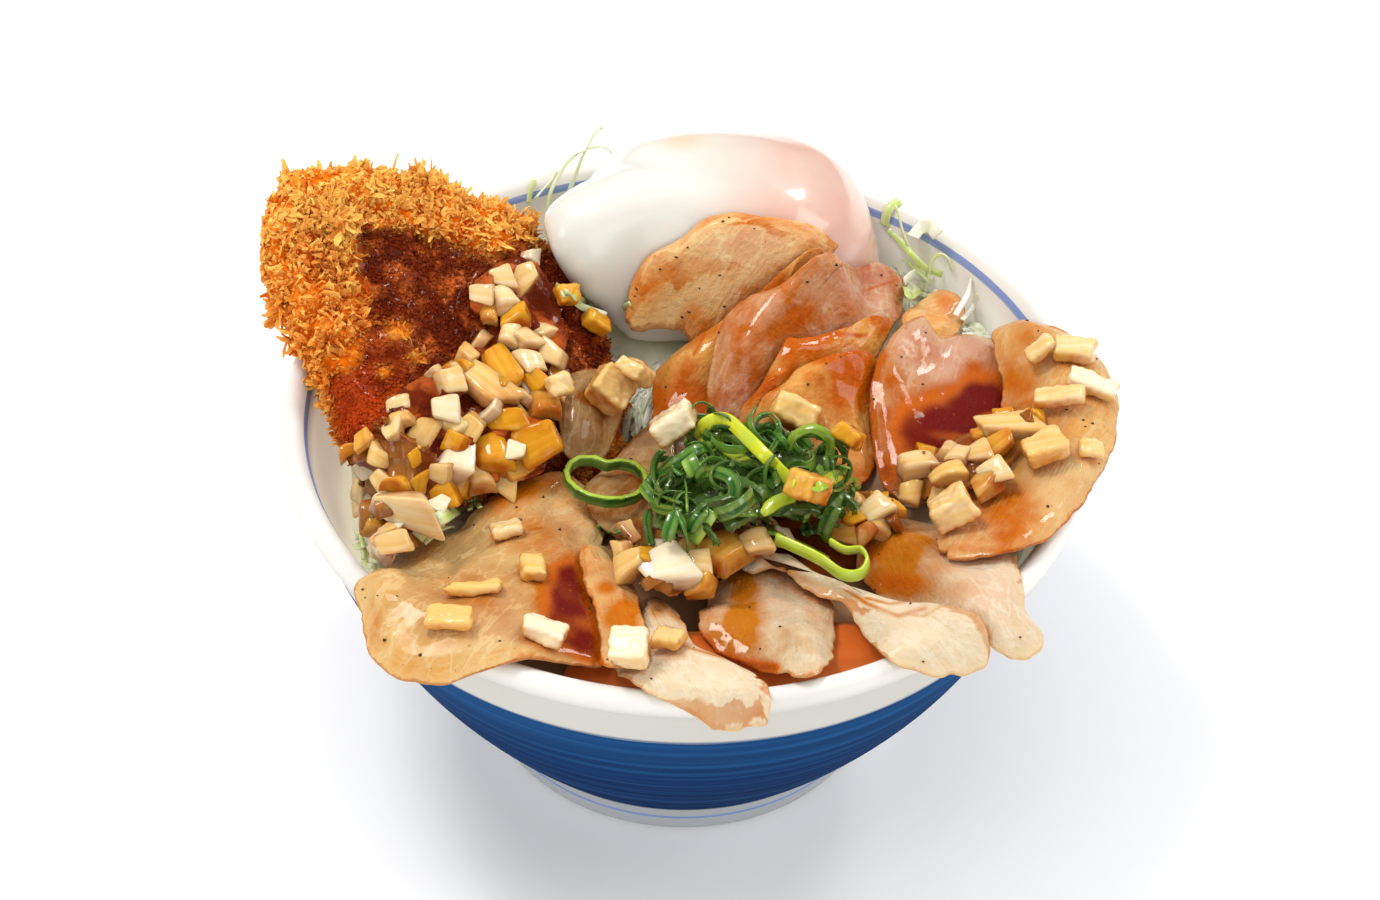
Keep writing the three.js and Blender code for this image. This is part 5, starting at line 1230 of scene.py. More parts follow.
# Fine grains, small octahedra, most of them where the crust is soaked.
def crustGrains(centres, area, out, means, others):
    look = cutletLook
    weight = area * (0.35 + 0.65 * means["soaked"]) * np.where(out[:, 2] < -0.3, 0.1, 1.0)
    chosen = crumbStarts(centres, weight, look["grains"], look["grainClearance"], others)
    count = len(chosen)
    sixWays = np.array([[0, 0, 1], [0, 0, -1], [1, 0, 0], [-1, 0, 0], [0, 1, 0], [0, -1, 0]], float)
    ring = ((2, 4), (4, 3), (3, 5), (5, 2))
    eightFaces = [(0, a, b) for a, b in ring] + [(1, b, a) for a, b in ring]
    reach = dice.uniform(*look["grainSize"], (count, 1, 1)) * dice.uniform(0.55, 1.3, (count, 6, 1)) * mm
    turns = np.linalg.qr(dice.normal(size=(count, 3, 3)))[0]
    turns[:, :, 0] *= np.sign(np.linalg.det(turns))[:, None]
    middles = centres[chosen] + out[chosen] * 0.12 * mm + dice.normal(0, 0.2, (count, 3)) * mm
    grains = middles[:, None] + (sixWays * reach) @ turns.transpose(0, 2, 1)
    own = np.repeat(np.clip(0.3 + dice.normal(0, 0.3, count), 0, 1), 6)
    masks = {"tint": own, "tip": (1 - own) * 0.5, "soaked": np.repeat(means["soaked"][chosen], 6),
             "edge": np.repeat(means["edge"][chosen], 6)}
    tris = [[6 * k + i for i in face] for k in range(count) for face in eightFaces]
    grains = keptInside(grains.reshape(-1, 3), 0.02 * mm)
    grit = makePiece("crustGrains", grains, tris, breadCrust, masks, isSmooth=False)
    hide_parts("cutlet")
    return count


def makeCutlet():
    others = treeWithout("cutlet")
    body = cutletBody()
    crumbs = crustCrumbs(*body, others)
    print("cutlet made,", crumbs, "crumbs and", crustGrains(*body, others), "grains")


makeCutlet()

# the soft egg: it swells round some spots of the photo, a height in mm and a dab for each

eggLook = {
    "white": "#e4e3da", "pink": "#dcae9c", "paintedGlow": "#f0c8a0", "paintedGlowAt": (684, 140, 22, 9, -4),
    "voxel": 1.1,
    "swells": [(2.2, 588, 268, 42, 42), (2.0, 606, 165, 80, 50, -38), (1.6, 638, 150, 36, 24, -30)],
    "pinkColumns": (655, 800), "slantRow": 190, "fold": [(640, 170), (672, 205), (690, 240)],
}


def makeEgg():
    look = eggLook
    points, faces, normals = softened("egg", look["voxel"], 40)
    x, y = toPixels(points)
    swell = 0.4 + 0.35 * cloud(points, 16 * mm, 71)
    for height, *spot in look["swells"]:
        swell += height * dab(x, y, *spot)
    points = points + normals * swell[:, None] * mm
    x, y = toPixels(points)
    warp = 14 * cloud(points, 12 * mm, 72)
    pink = smooth(x + warp + 0.25 * (y - look["slantRow"]), *look["pinkColumns"])
    # besides the pink, a warm painted highlight patch on top of the egg
    masks = {"pink": pink * (1 - 0.45 * stroke(x, y, look["fold"], 10)), "paintedGlow": dab(x, y, *look["paintedGlowAt"])}
    r = Recipe("softEgg")
    cloudy = r.patches(45.0, 0.3, 0.7)
    rosy = r.times(r.mask("pink"), r.scaled(cloudy, 0.3, 0.7))
    base = r.mix(rosy, look["white"], look["pink"])
    base = r.mix(r.times(r.mask("paintedGlow"), 0.7), base, look["paintedGlow"])
    r.bump(r.noise(r.place(), 60.0, 2.0), 0.08, 0.0008)
    material = r.finish(Base_Color=base, Roughness=0.25, coat=(0.6, 0.07),
                        flesh=(0.35, (1.0, 0.5, 0.35), 0.004))
    egg = makePiece("softEgg", points, faces, material, masks)
    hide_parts("egg")


makeEgg()
print("egg made")

# onion

onionLook = {
    "flesh": "#e8cc74", "white": "#f4eed8", "yellow": "#f4c438", "amber": "#d0781a", "sauce": "#6a2808",
    "coreDepth": 1.1, "tries": 900, "spacing": 3.6,
}


def onionMaterial():
    look = onionLook
    r = Recipe("dicedOnion")
    stripes = r.fibres(0.1, 2.2)
    base = r.mix(r.times(stripes["Mask"], 0.75), look["flesh"], look["white"])
    base = r.mix(r.times(r.mask("white"), 0.8), base, look["white"])
    base = r.mix(r.mask("yellow"), base, look["yellow"], "MULTIPLY")
    stain = r.patches(210.0, 0.4, 0.7)
    brown = r.times(r.mask("amber"), r.scaled(stain, 0.6, 0.4))
    base = r.mix(brown, base, look["amber"], "MULTIPLY")
    base = r.mix(r.mask("sauce"), base, look["sauce"])
    r.bump(r.plus(stripes["Height"], r.noise(r.place(), 500.0, 2.0)), 0.25, 0.0003)
    return r.finish(Base_Color=base, Roughness=0.25, Specular_IOR_Level=0.1, coat=(0.8, 0.06),
                    flesh=(0.35, (1.0, 0.75, 0.3), 0.002))


onion = onionMaterial()


def cubeGrid(lines):
    n = len(lines)
    points, faces, index = [], [], {}

    def corner(p):
        key = tuple(round(v, 4) for v in p)
        if key not in index:
            index[key] = len(points)
            points.append(key)
        return index[key]

    for axis in range(3):
        for end in (-1, 1):
            for i in range(n - 1):
                for j in range(n - 1):
                    face = []
                    for u, v in ((i, j), (i + 1, j), (i + 1, j + 1), (i, j + 1)):
                        p = [0, 0, 0]
                        p[axis], p[(axis + 1) % 3], p[(axis + 2) % 3] = end, lines[u], lines[v]
                        face.append(corner(p))
                    faces.append(face if end > 0 else face[::-1])
    return np.array(points, float), faces


cubePoints, cubeFaces = cubeGrid([-1, -0.8, -0.4, 0.0, 0.4, 0.8, 1])


# A cut piece of onion: a rounded, slightly curved and wedged block.
def dicePoints(centre, size, heading, normal, seed):
    random = np.random.default_rng(seed)
    rounding = 0.3
    inner = np.clip(cubePoints, -(1 - rounding), 1 - rounding)
    rounded = inner + rounding * unit(cubePoints - inner)
    half = np.array(size) * 0.48 * mm
    wedge = random.uniform(-0.38, 0.38, 3)
    rounded[:, 1] *= 1 + wedge[0] * rounded[:, 0]
    rounded[:, 2] *= 1 + wedge[1] * rounded[:, 0]
    rounded[:, 0] *= 1 + 0.6 * wedge[2] * rounded[:, 2]
    rounded[:, 0] += random.uniform(-0.35, 0.35) * rounded[:, 1]
    rounded[:, 1] += random.uniform(-0.25, 0.25) * rounded[:, 2]
    local = rounded * half
    bend = random.uniform(-0.3, 0.7) * half[2] / max(half[0], 1e-6) ** 2
    local[:, 2] -= bend * local[:, 0] ** 2
    local += 0.22 * mm * cloud(local + seed * 0.013, 1.6 * mm, 81)[:, None] * unit(local)
    up = unit(np.array(normal) + random.normal(0, 0.28, 3))
    turn = math.radians(heading)
    ahead = np.array([math.cos(turn), math.sin(turn), 0])
    ahead = unit(ahead - up * (ahead @ up))
    aside = np.cross(up, ahead)
    points = centre + local @ np.array([ahead, aside, up])
    edges = np.sort(np.abs(cubePoints), axis=1)[:, 1]
    deep = np.maximum(1 - smooth(local[:, 2] / half[2], -0.6, 0.7), 0.35 * smooth(edges, 0.5, 1.0))
    deep = np.maximum(deep, 0.7 * (1 - smooth(cubePoints[:, 2], 0.3, 1.0)))
    grain = {"grainAlong": local[:, 0] / mm + seed,
             "grainAcross": local[:, 1] / mm + local[:, 2] / mm * 0.5}
    return points, grain, deep


# Several point sets, face lists and masks as one.
def gather(parts):
    points, faces, masks, start = [], [], {}, 0
    for some, itsFaces, itsMasks in parts:
        points.append(some)
        faces += [[start + int(i) for i in face] for face in itsFaces]
        for key in itsMasks:
            masks.setdefault(key, [])
        start += len(some)
    for key in masks:
        masks[key] = np.concatenate([np.broadcast_to(m.get(key, 0.0), len(p)) for p, _, m in parts])
    return np.concatenate(points), faces, masks


# How much of each mask a tone has, drawn in this order.
onionTones = {
    "pale": {"white": (0.2, 0.6), "amber": (0.0, 0.2), "yellow": (0.3, 0.7)},
    "white": {"white": (0.8, 1.0), "amber": (0.0, 0.08), "yellow": (0.05, 0.2)},
    "yellow": {"yellow": (0.95, 1.0), "amber": (0.1, 0.4)},
    "amber": {"amber": (0.4, 0.7), "yellow": (0.7, 1.0)},
    "soaked": {"amber": (0.7, 1.0), "sauce": (0.2, 0.5), "yellow": (0.4, 0.7)},
}
fillTones = ["pale", "pale", "white", "yellow", "yellow", "amber", "soaked"]
upAndAhead = np.array([0, -0.3, 1.0])
# Each heap: its node, the amount of sauce on its core, how many more dice fill it, and the dice that
# show: x, y in the photo, length, width and height in mm, heading in degrees, and a tone.
onionHeaps = {
    "onionOnCutlet": {
        "node": "onion_cutlet", "fill": 16, "base": "crust", "sauce": 1,
        "dice": [(526, 274, 6.4, 6.4, 4, 30, "pale"), (503, 276, 5, 5, 4, 10, "pale"),
                 (481, 292, 6, 4.5, 3, -10, "pale"), (507, 297, 6, 5.5, 4, 30, "pale"),
                 (487, 310, 4, 6, 4, 0, "amber"), (515, 315, 7, 4.6, 4, 20, "yellow"),
                 (511, 333, 5, 4.8, 4, 0, "pale"), (526, 338, 5.5, 5, 4, 40, "pale"),
                 (532, 358, 6, 6, 4, 15, "pale"), (552, 351, 7, 5, 4, -35, "pale"),
                 (556, 371, 5, 5, 4, 10, "amber"), (484, 379, 15, 7, 5, -40, "pale"),
                 (501, 366, 13, 8, 4, -60, "yellow"), (452, 379, 6.5, 6, 4, 20, "pale"),
                 (447, 405, 6.5, 6, 5, 0, "white"), (456, 425, 5, 5, 4, 30, "pale"),
                 (421, 433, 10, 6, 5, 70, "pale"), (470, 427, 7, 6, 5, 60, "pale"),
                 (507, 419, 9.5, 5, 4, 5, "yellow"), (546, 400, 8, 7, 5, 15, "amber"),
                 (493, 451, 9, 8, 6, 10, "yellow"), (535, 443, 10, 9, 6, 35, "yellow"),
                 (456, 456, 10, 7, 6, 80, "white"), (449, 484, 10, 7, 5, -10, "yellow"),
                 (481, 477, 6, 5, 4, 20, "pale"), (505, 482, 6, 5, 4, -30, "pale"),
                 (517, 464, 7, 6, 5, 20, "amber"), (371, 469, 10, 7, 5, -15, "pale"),
                 (398, 419, 6, 3.5, 3, 10, "pale"), (402, 455, 7, 6, 5, 30, "pale")]},
    "onionAtSide": {
        "node": "onion_side", "fill": 22, "base": "onion", "sauce": 0.75,
        "dice": [(364, 502, 6, 5, 4, 10, "pale"), (408, 512, 13, 8, 4.5, -8, "pale"),
                 (440, 494, 7, 6, 5, 20, "yellow"), (377, 524, 6, 5, 4, 0, "amber"),
                 (393, 543, 7, 5, 4, 20, "pale"), (360, 492, 6, 5, 4, 50, "pale")]},
    "onionInMiddle": {
        "node": "onion_middle", "fill": 12, "base": "onion", "sauce": 0.7,
        "dice": [(631, 559, 7, 6, 5, 10, "pale"), (667, 565, 10, 9, 6, 20, "white"),
                 (699, 559, 6, 6, 4, 0, "pale"), (728, 545, 13, 8, 5, 50, "amber"),
                 (757, 540, 6, 6, 4, 20, "pale"), (699, 586, 6, 5, 4, 0, "amber")]},
    "onionAtRight": {
        "node": "onion_right", "fill": 8, "base": "onion", "sauce": 0.6,
        "dice": [(997, 443, 9, 6, 4, 15, "amber"), (980, 451, 6, 5, 4, 0, "pale"),
                 (993, 469, 7, 6, 4, 20, "pale"), (918, 462, 9, 5, 4, 15, "pale"),
                 (946, 471, 8, 5, 4, 0, "pale"), (986, 481, 7, 5, 4, 30, "amber"),
                 (909, 492, 5, 5, 4, 0, "pale"), (1008, 424, 13, 7, 4, 10, "pale")]},
    "onionInCentre": {
        "node": "onion_centre", "fill": 7, "base": "onion", "sauce": 0.6,
        "dice": [(850, 507, 8, 6, 5, 20, "pale"), (846, 531, 6, 5, 4, 0, "amber"),
                 (850, 470, 7, 6, 4, 0, "pale"), (875, 505, 7, 6, 5, 30, "pale"),
                 (880, 525, 6, 5, 4, 0, "pale")]},
}


def diceTone(name, random):
    return {key: random.uniform(*span) for key, span in onionTones[name].items()}


def heapCore(name, plan, points, faces, normals):
    node = plan["node"]
    core = points - normals * onionLook["coreDepth"] * mm
    if plan["base"] == "crust":
        relief = crustRelief(core)
        core = core + normals * (0.7 * relief)[:, None] * mm
        masks = {"tint": np.clip(0.5 + 0.4 * relief, 0, 1), "soaked": 1, "edge": 0}
        base = makePiece(name + "Base", core, faces, breadCrust, masks)
    else:
        core = core + normals * (0.5 * cloud(core, 2.5 * mm, 91))[:, None] * mm
        wet = plan["sauce"] + 0.3 * cloud(core, 5 * mm, 92)
        masks = {"amber": 0.9, "yellow": 0.8, "sauce": np.clip(wet, 0, 1)}
        base = makePiece(name + "Base", core, faces, onion, masks)
    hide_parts(node)


def makeHeap(name, plan):
    look, node = onionLook, plan["node"]
    random = np.random.default_rng(sum(map(ord, name)))
    tree = treeOf([allNodes[node]])
    points, faces, normals = softened(node, 0.9, 6)
    heapCore(name, plan, points, faces, normals)
    placed = []
    for x, y, length, width, height, heading, tone in plan["dice"]:
        spot, normal = pixelHit(tree, x, y)
        if spot is None:
            continue
        normal = unit(normal + upAndAhead)
        placed.append((spot - normal * height * 0.3 * mm, (length, width, height), heading, normal, tone))
    centres, area, facing = faceFrames(points, faces)
    weights = area * (facing[:, 2] > 0.05)
    tries = random.choice(len(centres), look["tries"], p=weights / weights.sum())
    tones = random.choice(fillTones, look["tries"])
    left = plan["fill"]
    for k, tone in zip(tries, tones):
        if left and all(np.linalg.norm(centres[k] - p[0]) > look["spacing"] * mm for p in placed):
            size = random.uniform((4.0, 3.4, 2.6), (6.8, 5.0, 4.0))
            normal = unit(facing[k] + random.normal(0, 0.25, 3) + np.array([0, 0, 0.5]))
            placed.append((centres[k] - normal * 0.9 * mm, size, random.uniform(0, 180), normal, tone))
            left -= 1
    parts = []
    for i, (spot, size, heading, normal, tone) in enumerate(placed):
        block, grain, deep = dicePoints(spot, size, heading, normal, i + 3)
        masks = {"amber": 0, "sauce": 0, **diceTone(tone, random)}
        masks["amber"] = np.clip(masks["amber"] + 0.8 * deep, 0, 1)
        masks["sauce"] = np.clip(masks["sauce"] + 0.4 * deep ** 2, 0, 1)
        parts.append((block, cubeFaces, {**grain, **masks}))
    points, faces, masks = gather(parts)
    heap = makePiece(name, points, faces, onion, masks)
    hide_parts(node)


for name, plan in onionHeaps.items():
    makeHeap(name, plan)

singleTones = {5: "white", 6: "white", 9: "white", 11: "amber", 12: "amber", 17: "white", 22: "yellow",
               23: "yellow"}


def makeSingle(number):
    node = f"onion_{number:02d}"
    points, faces, normals = softened(node, 0.45, 9)
    bulge = 0.5 * cloud(points, 3.4 * mm, number) + 0.25 * cloud(points, 1.3 * mm, number + 40) + 0.35
    points = keptInside(points + normals * bulge[:, None] * mm)
    # painted light and shade: faces turned up and towards the camera are whiter, faces turned away are more
    # amber
    facing = smooth(normals @ unit(upAndAhead), 0.2, 0.9)
    tone = diceTone(singleTones.get(number, "pale"), np.random.default_rng(number))
    along, across = (points - points.mean(0))[:, :2].T / mm
    masks = {"grainAlong": along, "grainAcross": across + number,
             "amber": 0.2, "white": 0.3, "yellow": 0.2, **tone}
    amberAndShade = masks["amber"] * (0.6 + 0.4 * cloud(points, 3 * mm, number)) + 0.75 * (1 - facing)
    masks["amber"] = np.clip(amberAndShade, 0, 1)
    masks["white"] = masks["white"] * facing
    piece = makePiece(f"onionPiece{number:02d}", points, faces, onion, masks)
    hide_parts(node)


for number in range(1, 24):
    makeSingle(number)
print("onion made")

# scallion

scallionLook = {"dark": "#103c10", "green": "#2f8424", "light": "#b4d45a", "yellow": "#dfe21e",
                "strands": 62}


def scallionMaterial(name):
    look = scallionLook
    r = Recipe(name)
    veins = r.fibres(0.1, 3.0)
    base = r.mix(r.mask("tint"), look["dark"], look["green"])
    base = r.mix(r.step(r.mask("tint"), 0.5, 1.0), base, look["light"])
    base = r.mix(r.mask("yellow"), base, look["yellow"])
    base = r.mix(r.times(veins["Mask"], 0.3), base, look["light"])
    r.bump(veins["Height"], 0.2, 0.0002)
    return r.finish(Base_Color=base, Roughness=0.25, coat=(0.7, 0.08), flesh=(0.15, (0.4, 1.0, 0.25), 0.0015))


scallion = scallionMaterial("slicedScallion")
youngScallion = scallionMaterial("youngScallion")


# A flat band along a path: rounded across, as wide as said and lying about the given upward direction.
def band(path, width, thick, upward, sides=8):
    path = np.asarray(path, float)
    ahead = unit(np.gradient(path, axis=0))
    across = unit(np.cross(ahead, upward))
    over = unit(np.cross(across, ahead))
    angle = np.linspace(0, 2 * math.pi, sides, endpoint=False)
    widths = np.broadcast_to(width, len(path))
    rows = []
    for a in angle:
        c, s = math.cos(a), math.sin(a)
        c, s = math.copysign(abs(c) ** 0.6, c), math.copysign(abs(s) ** 0.6, s)
        rows.append(path + across * (widths * c / 2)[:, None] + over * (thick * s / 2))
    points = np.stack(rows, 1).reshape(-1, 3)
    faces = []
    for i in range(len(path) - 1):
        for j in range(sides):
            n = (j + 1) % sides
            faces.append((i * sides + j, i * sides + n, (i + 1) * sides + n, (i + 1) * sides + j))
    faces.append(list(range(sides))[::-1])
    faces.append([(len(path) - 1) * sides + j for j in range(sides)])
    along = np.repeat(np.arange(len(path)) * 0.8, sides)
    around = np.tile(np.cos(angle) * 1.5, len(path))
    return points, faces, {"grainAlong": along, "grainAcross": around}


# Bands in the photo's pixels: points, width in mm, tint from dark 0 to light 1, yellow 0 to 1.
scallionBands = [
    ([(696, 441), (708, 427), (726, 425), (744, 441), (762, 459), (778, 475), (794, 488)], 3.2, 0.8,
     0.95),
    ([(699, 443), (717, 450), (735, 461), (751, 468)], 2.6, 0.7, 0.6),
    ([(762, 518), (776, 507), (796, 500), (819, 491), (841, 477)], 3, 0.6, 0.55),
    ([(751, 436), (758, 423), (769, 420), (778, 429), (778, 443), (769, 457)], 1.4, 0.2, 0),
    ([(753, 439), (767, 436), (780, 445), (787, 454)], 2.5, 0.35, 0),
    ([(787, 454), (794, 441), (812, 434), (828, 443), (830, 459), (828, 470)], 2.4, 0.5, 0.3),
    ([(730, 470), (751, 473), (769, 477), (776, 491)], 3.5, 0.0, 0),
    ([(680, 507), (653, 495), (653, 484), (674, 470), (699, 454), (717, 454), (726, 468), (726, 491),
      (719, 518)], 2.8, 0.3, 0),
    ([(653, 495), (658, 513), (680, 516)], 2.6, 0.4, 0),
    ([(673, 471), (680, 465), (687, 471), (680, 478), (673, 472)], 1.6, 0.5, 0),
    ([(685, 484), (687, 500), (687, 513)], 3, 0.55, 0.1),
    ([(696, 484), (708, 477), (728, 482), (735, 495), (728, 518)], 3, 0.3, 0),
    ([(649, 513), (647, 531), (651, 550)], 2, 0.2, 0),
    ([(676, 516), (669, 536), (667, 545)], 3, 0.4, 0),
    ([(676, 513), (685, 534), (688, 556)], 2.5, 0.3, 0),
    ([(714, 511), (699, 522), (690, 536)], 3, 0.2, 0),
    ([(733, 518), (751, 516), (764, 527), (773, 538)], 3, 0.3, 0.1),
    ([(776, 540), (803, 554), (828, 563)], 3, 0.7, 0.55),
    ([(821, 540), (835, 545), (848, 547), (857, 550)], 2.4, 0.5, 0.2),
    ([(841, 497), (826, 513), (814, 531), (801, 536)], 4, 0.1, 0),
    ([(823, 491), (835, 495), (850, 486), (857, 493)], 3, 0.3, 0.1),
    ([(598, 530), (608, 536), (619, 536)], 2, 0.3, 0),
]


# The curl in the photo's pixels, its height and wall in mm and how far its middle is below the node's top.
curlLook = {
    "path": [(776, 539), (800, 551), (822, 562), (842, 574), (860, 573), (868, 560), (861, 549),
             (845, 550), (830, 543)], "height": 3.0, "thickness": 0.9, "below": 1.6, "steps": 48,
}


def scallionHeap():
    random = np.random.default_rng(101)
    under = treeWithout("scallion_heart", "scallion_curl", "bowl")
    points, faces, normals = softened("scallion_shreds", 0.8, 5)
    # a dark core under the bands: painted shade for the gaps between them
    core = points - normals * 1.3 * mm
    parts = [(core, faces, {"tint": 0})]
    viewUp = np.array([0, -0.55, 0.83])
    for pixels, width, tint, yellow in scallionBands:
        spots = hitsOf(under, pixels)
        path = curveThrough(spots, 6 * len(spots))
        path[:, 2] += (0.9 + 0.8 * np.sin(np.linspace(0.3, math.pi - 0.3, len(path)))) * mm
        aside = unit(viewUp + random.normal(0, 0.35, 3))
        step = np.arange(len(path))
        taper = np.clip(np.minimum(step + 2, len(path) + 1 - step) / 4, 0.4, 1)
        strip, itsFaces, masks = band(path, width * taper * mm, 0.6 * mm, aside)
        masks["tint"] = tint + 0.2 * cloud(strip, 4 * mm, 103)
        masks["yellow"] = np.clip(yellow * (1 + 0.5 * cloud(strip, 5 * mm, 104)), 0, 1)
        parts.append((strip, itsFaces, masks))
    centres, _, facing = faceFrames(points, faces)
    upper = np.flatnonzero(facing[:, 2] > 0.25)
    for k in random.choice(upper, scallionLook["strands"]):
        radius = random.uniform(3.0, 6.4) * mm
        sweep = np.linspace(0, random.uniform(1.8, 4.4), 16) + random.uniform(0, 6.3)
        axis = unit(np.array([0, -0.2, 0.9]) + random.normal(0, 0.55, 3))
        first = unit(np.cross(axis, random.normal(size=3)))
        second = np.cross(axis, first)
        curve = np.outer(np.cos(sweep), first) + np.outer(np.sin(sweep) * random.uniform(0.6, 1), second)
        path = centres[k] - facing[k] * 0.9 * mm + curve * radius
        strip, itsFaces, masks = band(path, random.uniform(2.0, 3.8) * mm, 0.55 * mm, curve)
        masks["tint"] = np.clip(random.beta(0.8, 1.8) + 0.25 * masks["grainAcross"], 0, 1)
        parts.append((strip, itsFaces, masks))
    points, faces, masks = gather(parts)
    heap = makePiece("scallionShreds", points, faces, scallion, masks)
    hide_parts("scallion_shreds")


def scallionRing():
    points, faces, normals = softened("scallion_heart", 0.35, 4)
    upper = smooth(normals[:, 2], 0.3, 0.9)
    masks = {"tint": 0.22 + 0.5 * upper + 0.15 * cloud(points, 4 * mm, 105), "yellow": 0.3 * upper,
             "grainAlong": points[:, 0] / mm, "grainAcross": points[:, 2] / mm * 0.5}
    ring = makePiece("scallionHeart", points, faces, scallion, masks)
    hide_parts("scallion_heart")


def scallionCurl():
    look = curlLook
    low, high = (Vector(corner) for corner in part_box("scallion_curl"))
    level = max(low.z, high.z) - look["below"] * mm
    path = []
    for x, y in look["path"]:
        way = sightLine(x, y)
        path.append(cameraPlace + way * ((level - cameraPlace.z) / way.z))
    path = curveThrough(path, look["steps"])
    path[:, 2] += 0.5 * mm * np.sin(np.linspace(0, 7, look["steps"]))
    tangent = unit(np.gradient(path, axis=0))
    thin = unit(np.cross(tangent, [0, 0, 1.0]) + np.array([0, 0, 0.25]))
    strip, faces, masks = band(path, look["height"] * mm, look["thickness"] * mm, thin)
    masks["tint"] = np.clip(0.55 + 0.3 * cloud(strip, 4 * mm, 105), 0, 1)
    masks["yellow"] = np.clip(0.35 + 0.4 * smooth(strip[:, 2], level, level + 2 * mm), 0, 1)
    curl = makePiece("scallionCurl", keptInside(strip), faces, youngScallion, masks)
    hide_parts("scallion_curl")


scallionHeap()
scallionRing()
scallionCurl()
print("scallion made")

# cabbage and rice

cabbageLook = {
    "pale": "#f7f7e6", "green": "#bcd464", "deep": "#ecebcc", "soaked": "#8a501e", "shreds": 760,
    "tries": 30000, "voxel": 1.5, "bedLevel": 74.5, "hollow": 82, "soakedAt": (2, -30),
    "standing": (43, 50, -8, 60), "spread": 86,
}
# Shreds that stand at the back: points in mm from the bowl's middle.
standingShreds = [
    [[-35, 66, 69], [-35, 69, 80], [-34, 73, 90], [-30, 77, 97], [-23, 80.5, 98], [-18, 82.5, 93]],
    [[-32, 69, 69], [-32, 72, 82], [-29, 77, 93], [-25, 80, 101], [-22, 82, 103]],
    [[-30, 70, 69], [-30, 73.5, 82], [-26, 78, 90], [-20, 81, 92], [-15, 83, 95], [-12, 84, 99]],
    [[54, 56, 72], [53.5, 59, 82], [50.5, 62, 88], [48.5, 64, 92], [46.8, 66.5, 94.5]],
    [[55, 56, 72], [55.5, 57, 82], [57, 57.5, 87], [59, 57, 87.5], [61, 55.5, 84]],
]


# Thin shreds in the photo's pixels: points, width in mm, tint from white 0 to green 1.
cabbageBands = [
    ([(417, 540), (430, 527), (446, 519), (460, 510)], 3.2, 0.9),
    ([(424, 545), (436, 536), (452, 529)], 1.6, 0.7),
    ([(462, 514), (466, 504), (476, 500)], 1.6, 1.2),
    ([(470, 512), (474, 505), (480, 510)], 1.2, 1.2),
    ([(556, 288), (575, 301), (600, 310), (622, 313)], 1.6, 1.0),
    ([(562, 296), (580, 310), (606, 318)], 1.8, 0.6),
    ([(612, 322), (622, 314), (630, 306)], 1.4, 1.0),
    ([(884, 228), (888, 214), (899, 203)], 2.4, 1.0),
    ([(888, 232), (896, 240), (909, 256), (925, 271), (942, 277)], 1.6, 1.1),
    ([(912, 239), (922, 232), (931, 231), (938, 238)], 3.6, 0.0),
    ([(905, 262), (915, 272), (930, 284)], 1.4, 0.9),
    ([(904, 284), (916, 278), (932, 284)], 2.4, 0.2),
    ([(906, 290), (910, 300), (920, 292)], 2.0, 1.0),
    ([(955, 318), (966, 300), (970, 282)], 1.4, 0.1),
    ([(962, 322), (972, 312), (976, 296)], 1.2, 0.3),
    ([(528, 205), (534, 182), (546, 150), (556, 142)], 1.3, 0.8),
    ([(536, 200), (548, 188), (556, 172), (560, 160)], 1.6, 0.3),
]


def cabbageMaterial():
    look = cabbageLook
    r = Recipe("shreddedCabbage")
    veins = r.fibres(0.15, 2.0)
    base = r.mix(r.mask("tint"), look["pale"], look["green"])
    base = r.mix(r.times(veins["Mask"], 0.4), base, look["pale"])
    base = r.mix(r.mask("shade"), base, look["deep"])
    base = r.mix(r.mask("soaked"), base, look["soaked"])
    r.bump(veins["Height"], 0.3, 0.0003)
    return r.finish(Base_Color=base, Roughness=0.35, coat=(0.3, 0.12), flesh=(0.25, (0.8, 1.0, 0.4), 0.002))


# Where the bed would rise to the standing shreds, in mm from the bowl's middle: right and left of the egg.
def isStanding(x, y):
    right, rightBack, left, leftBack = cabbageLook["standing"]
    return ((x > right) & (y > rightBack)) | ((x < left) & (y > leftBack))


def fromSoaked(x, y):
    middleX, middleY = cabbageLook["soakedAt"]
    return np.hypot(x - middleX * mm, y - middleY * mm)


def cabbageBed():
    level = cabbageLook["bedLevel"] * mm
    points, faces, normals = softened("cabbage", cabbageLook["voxel"], 2)
    bed = points + normals * (0.5 * cloud(points * [1, 1, 2], 2.4 * mm, 112) - 0.3)[:, None] * mm
    x, y, z = bed.T
    isHigh = isStanding((x - bowlX) / mm, (y - bowlY) / mm) & (z > level)
    bed[:, 2] = np.where(isHigh, level + 0.1 * (z - level), z)
    masks = {"tint": np.clip(0.3 + 0.5 * cloud(bed, 5 * mm, 113), 0, 1), "shade": 0.6,
             "soaked": 0.9 * (1 - smooth(fromSoaked(x, y), 0.045, 0.065)),
             "grainAlong": x / mm, "grainAcross": y / mm * 0.3}
    return bed, faces, masks


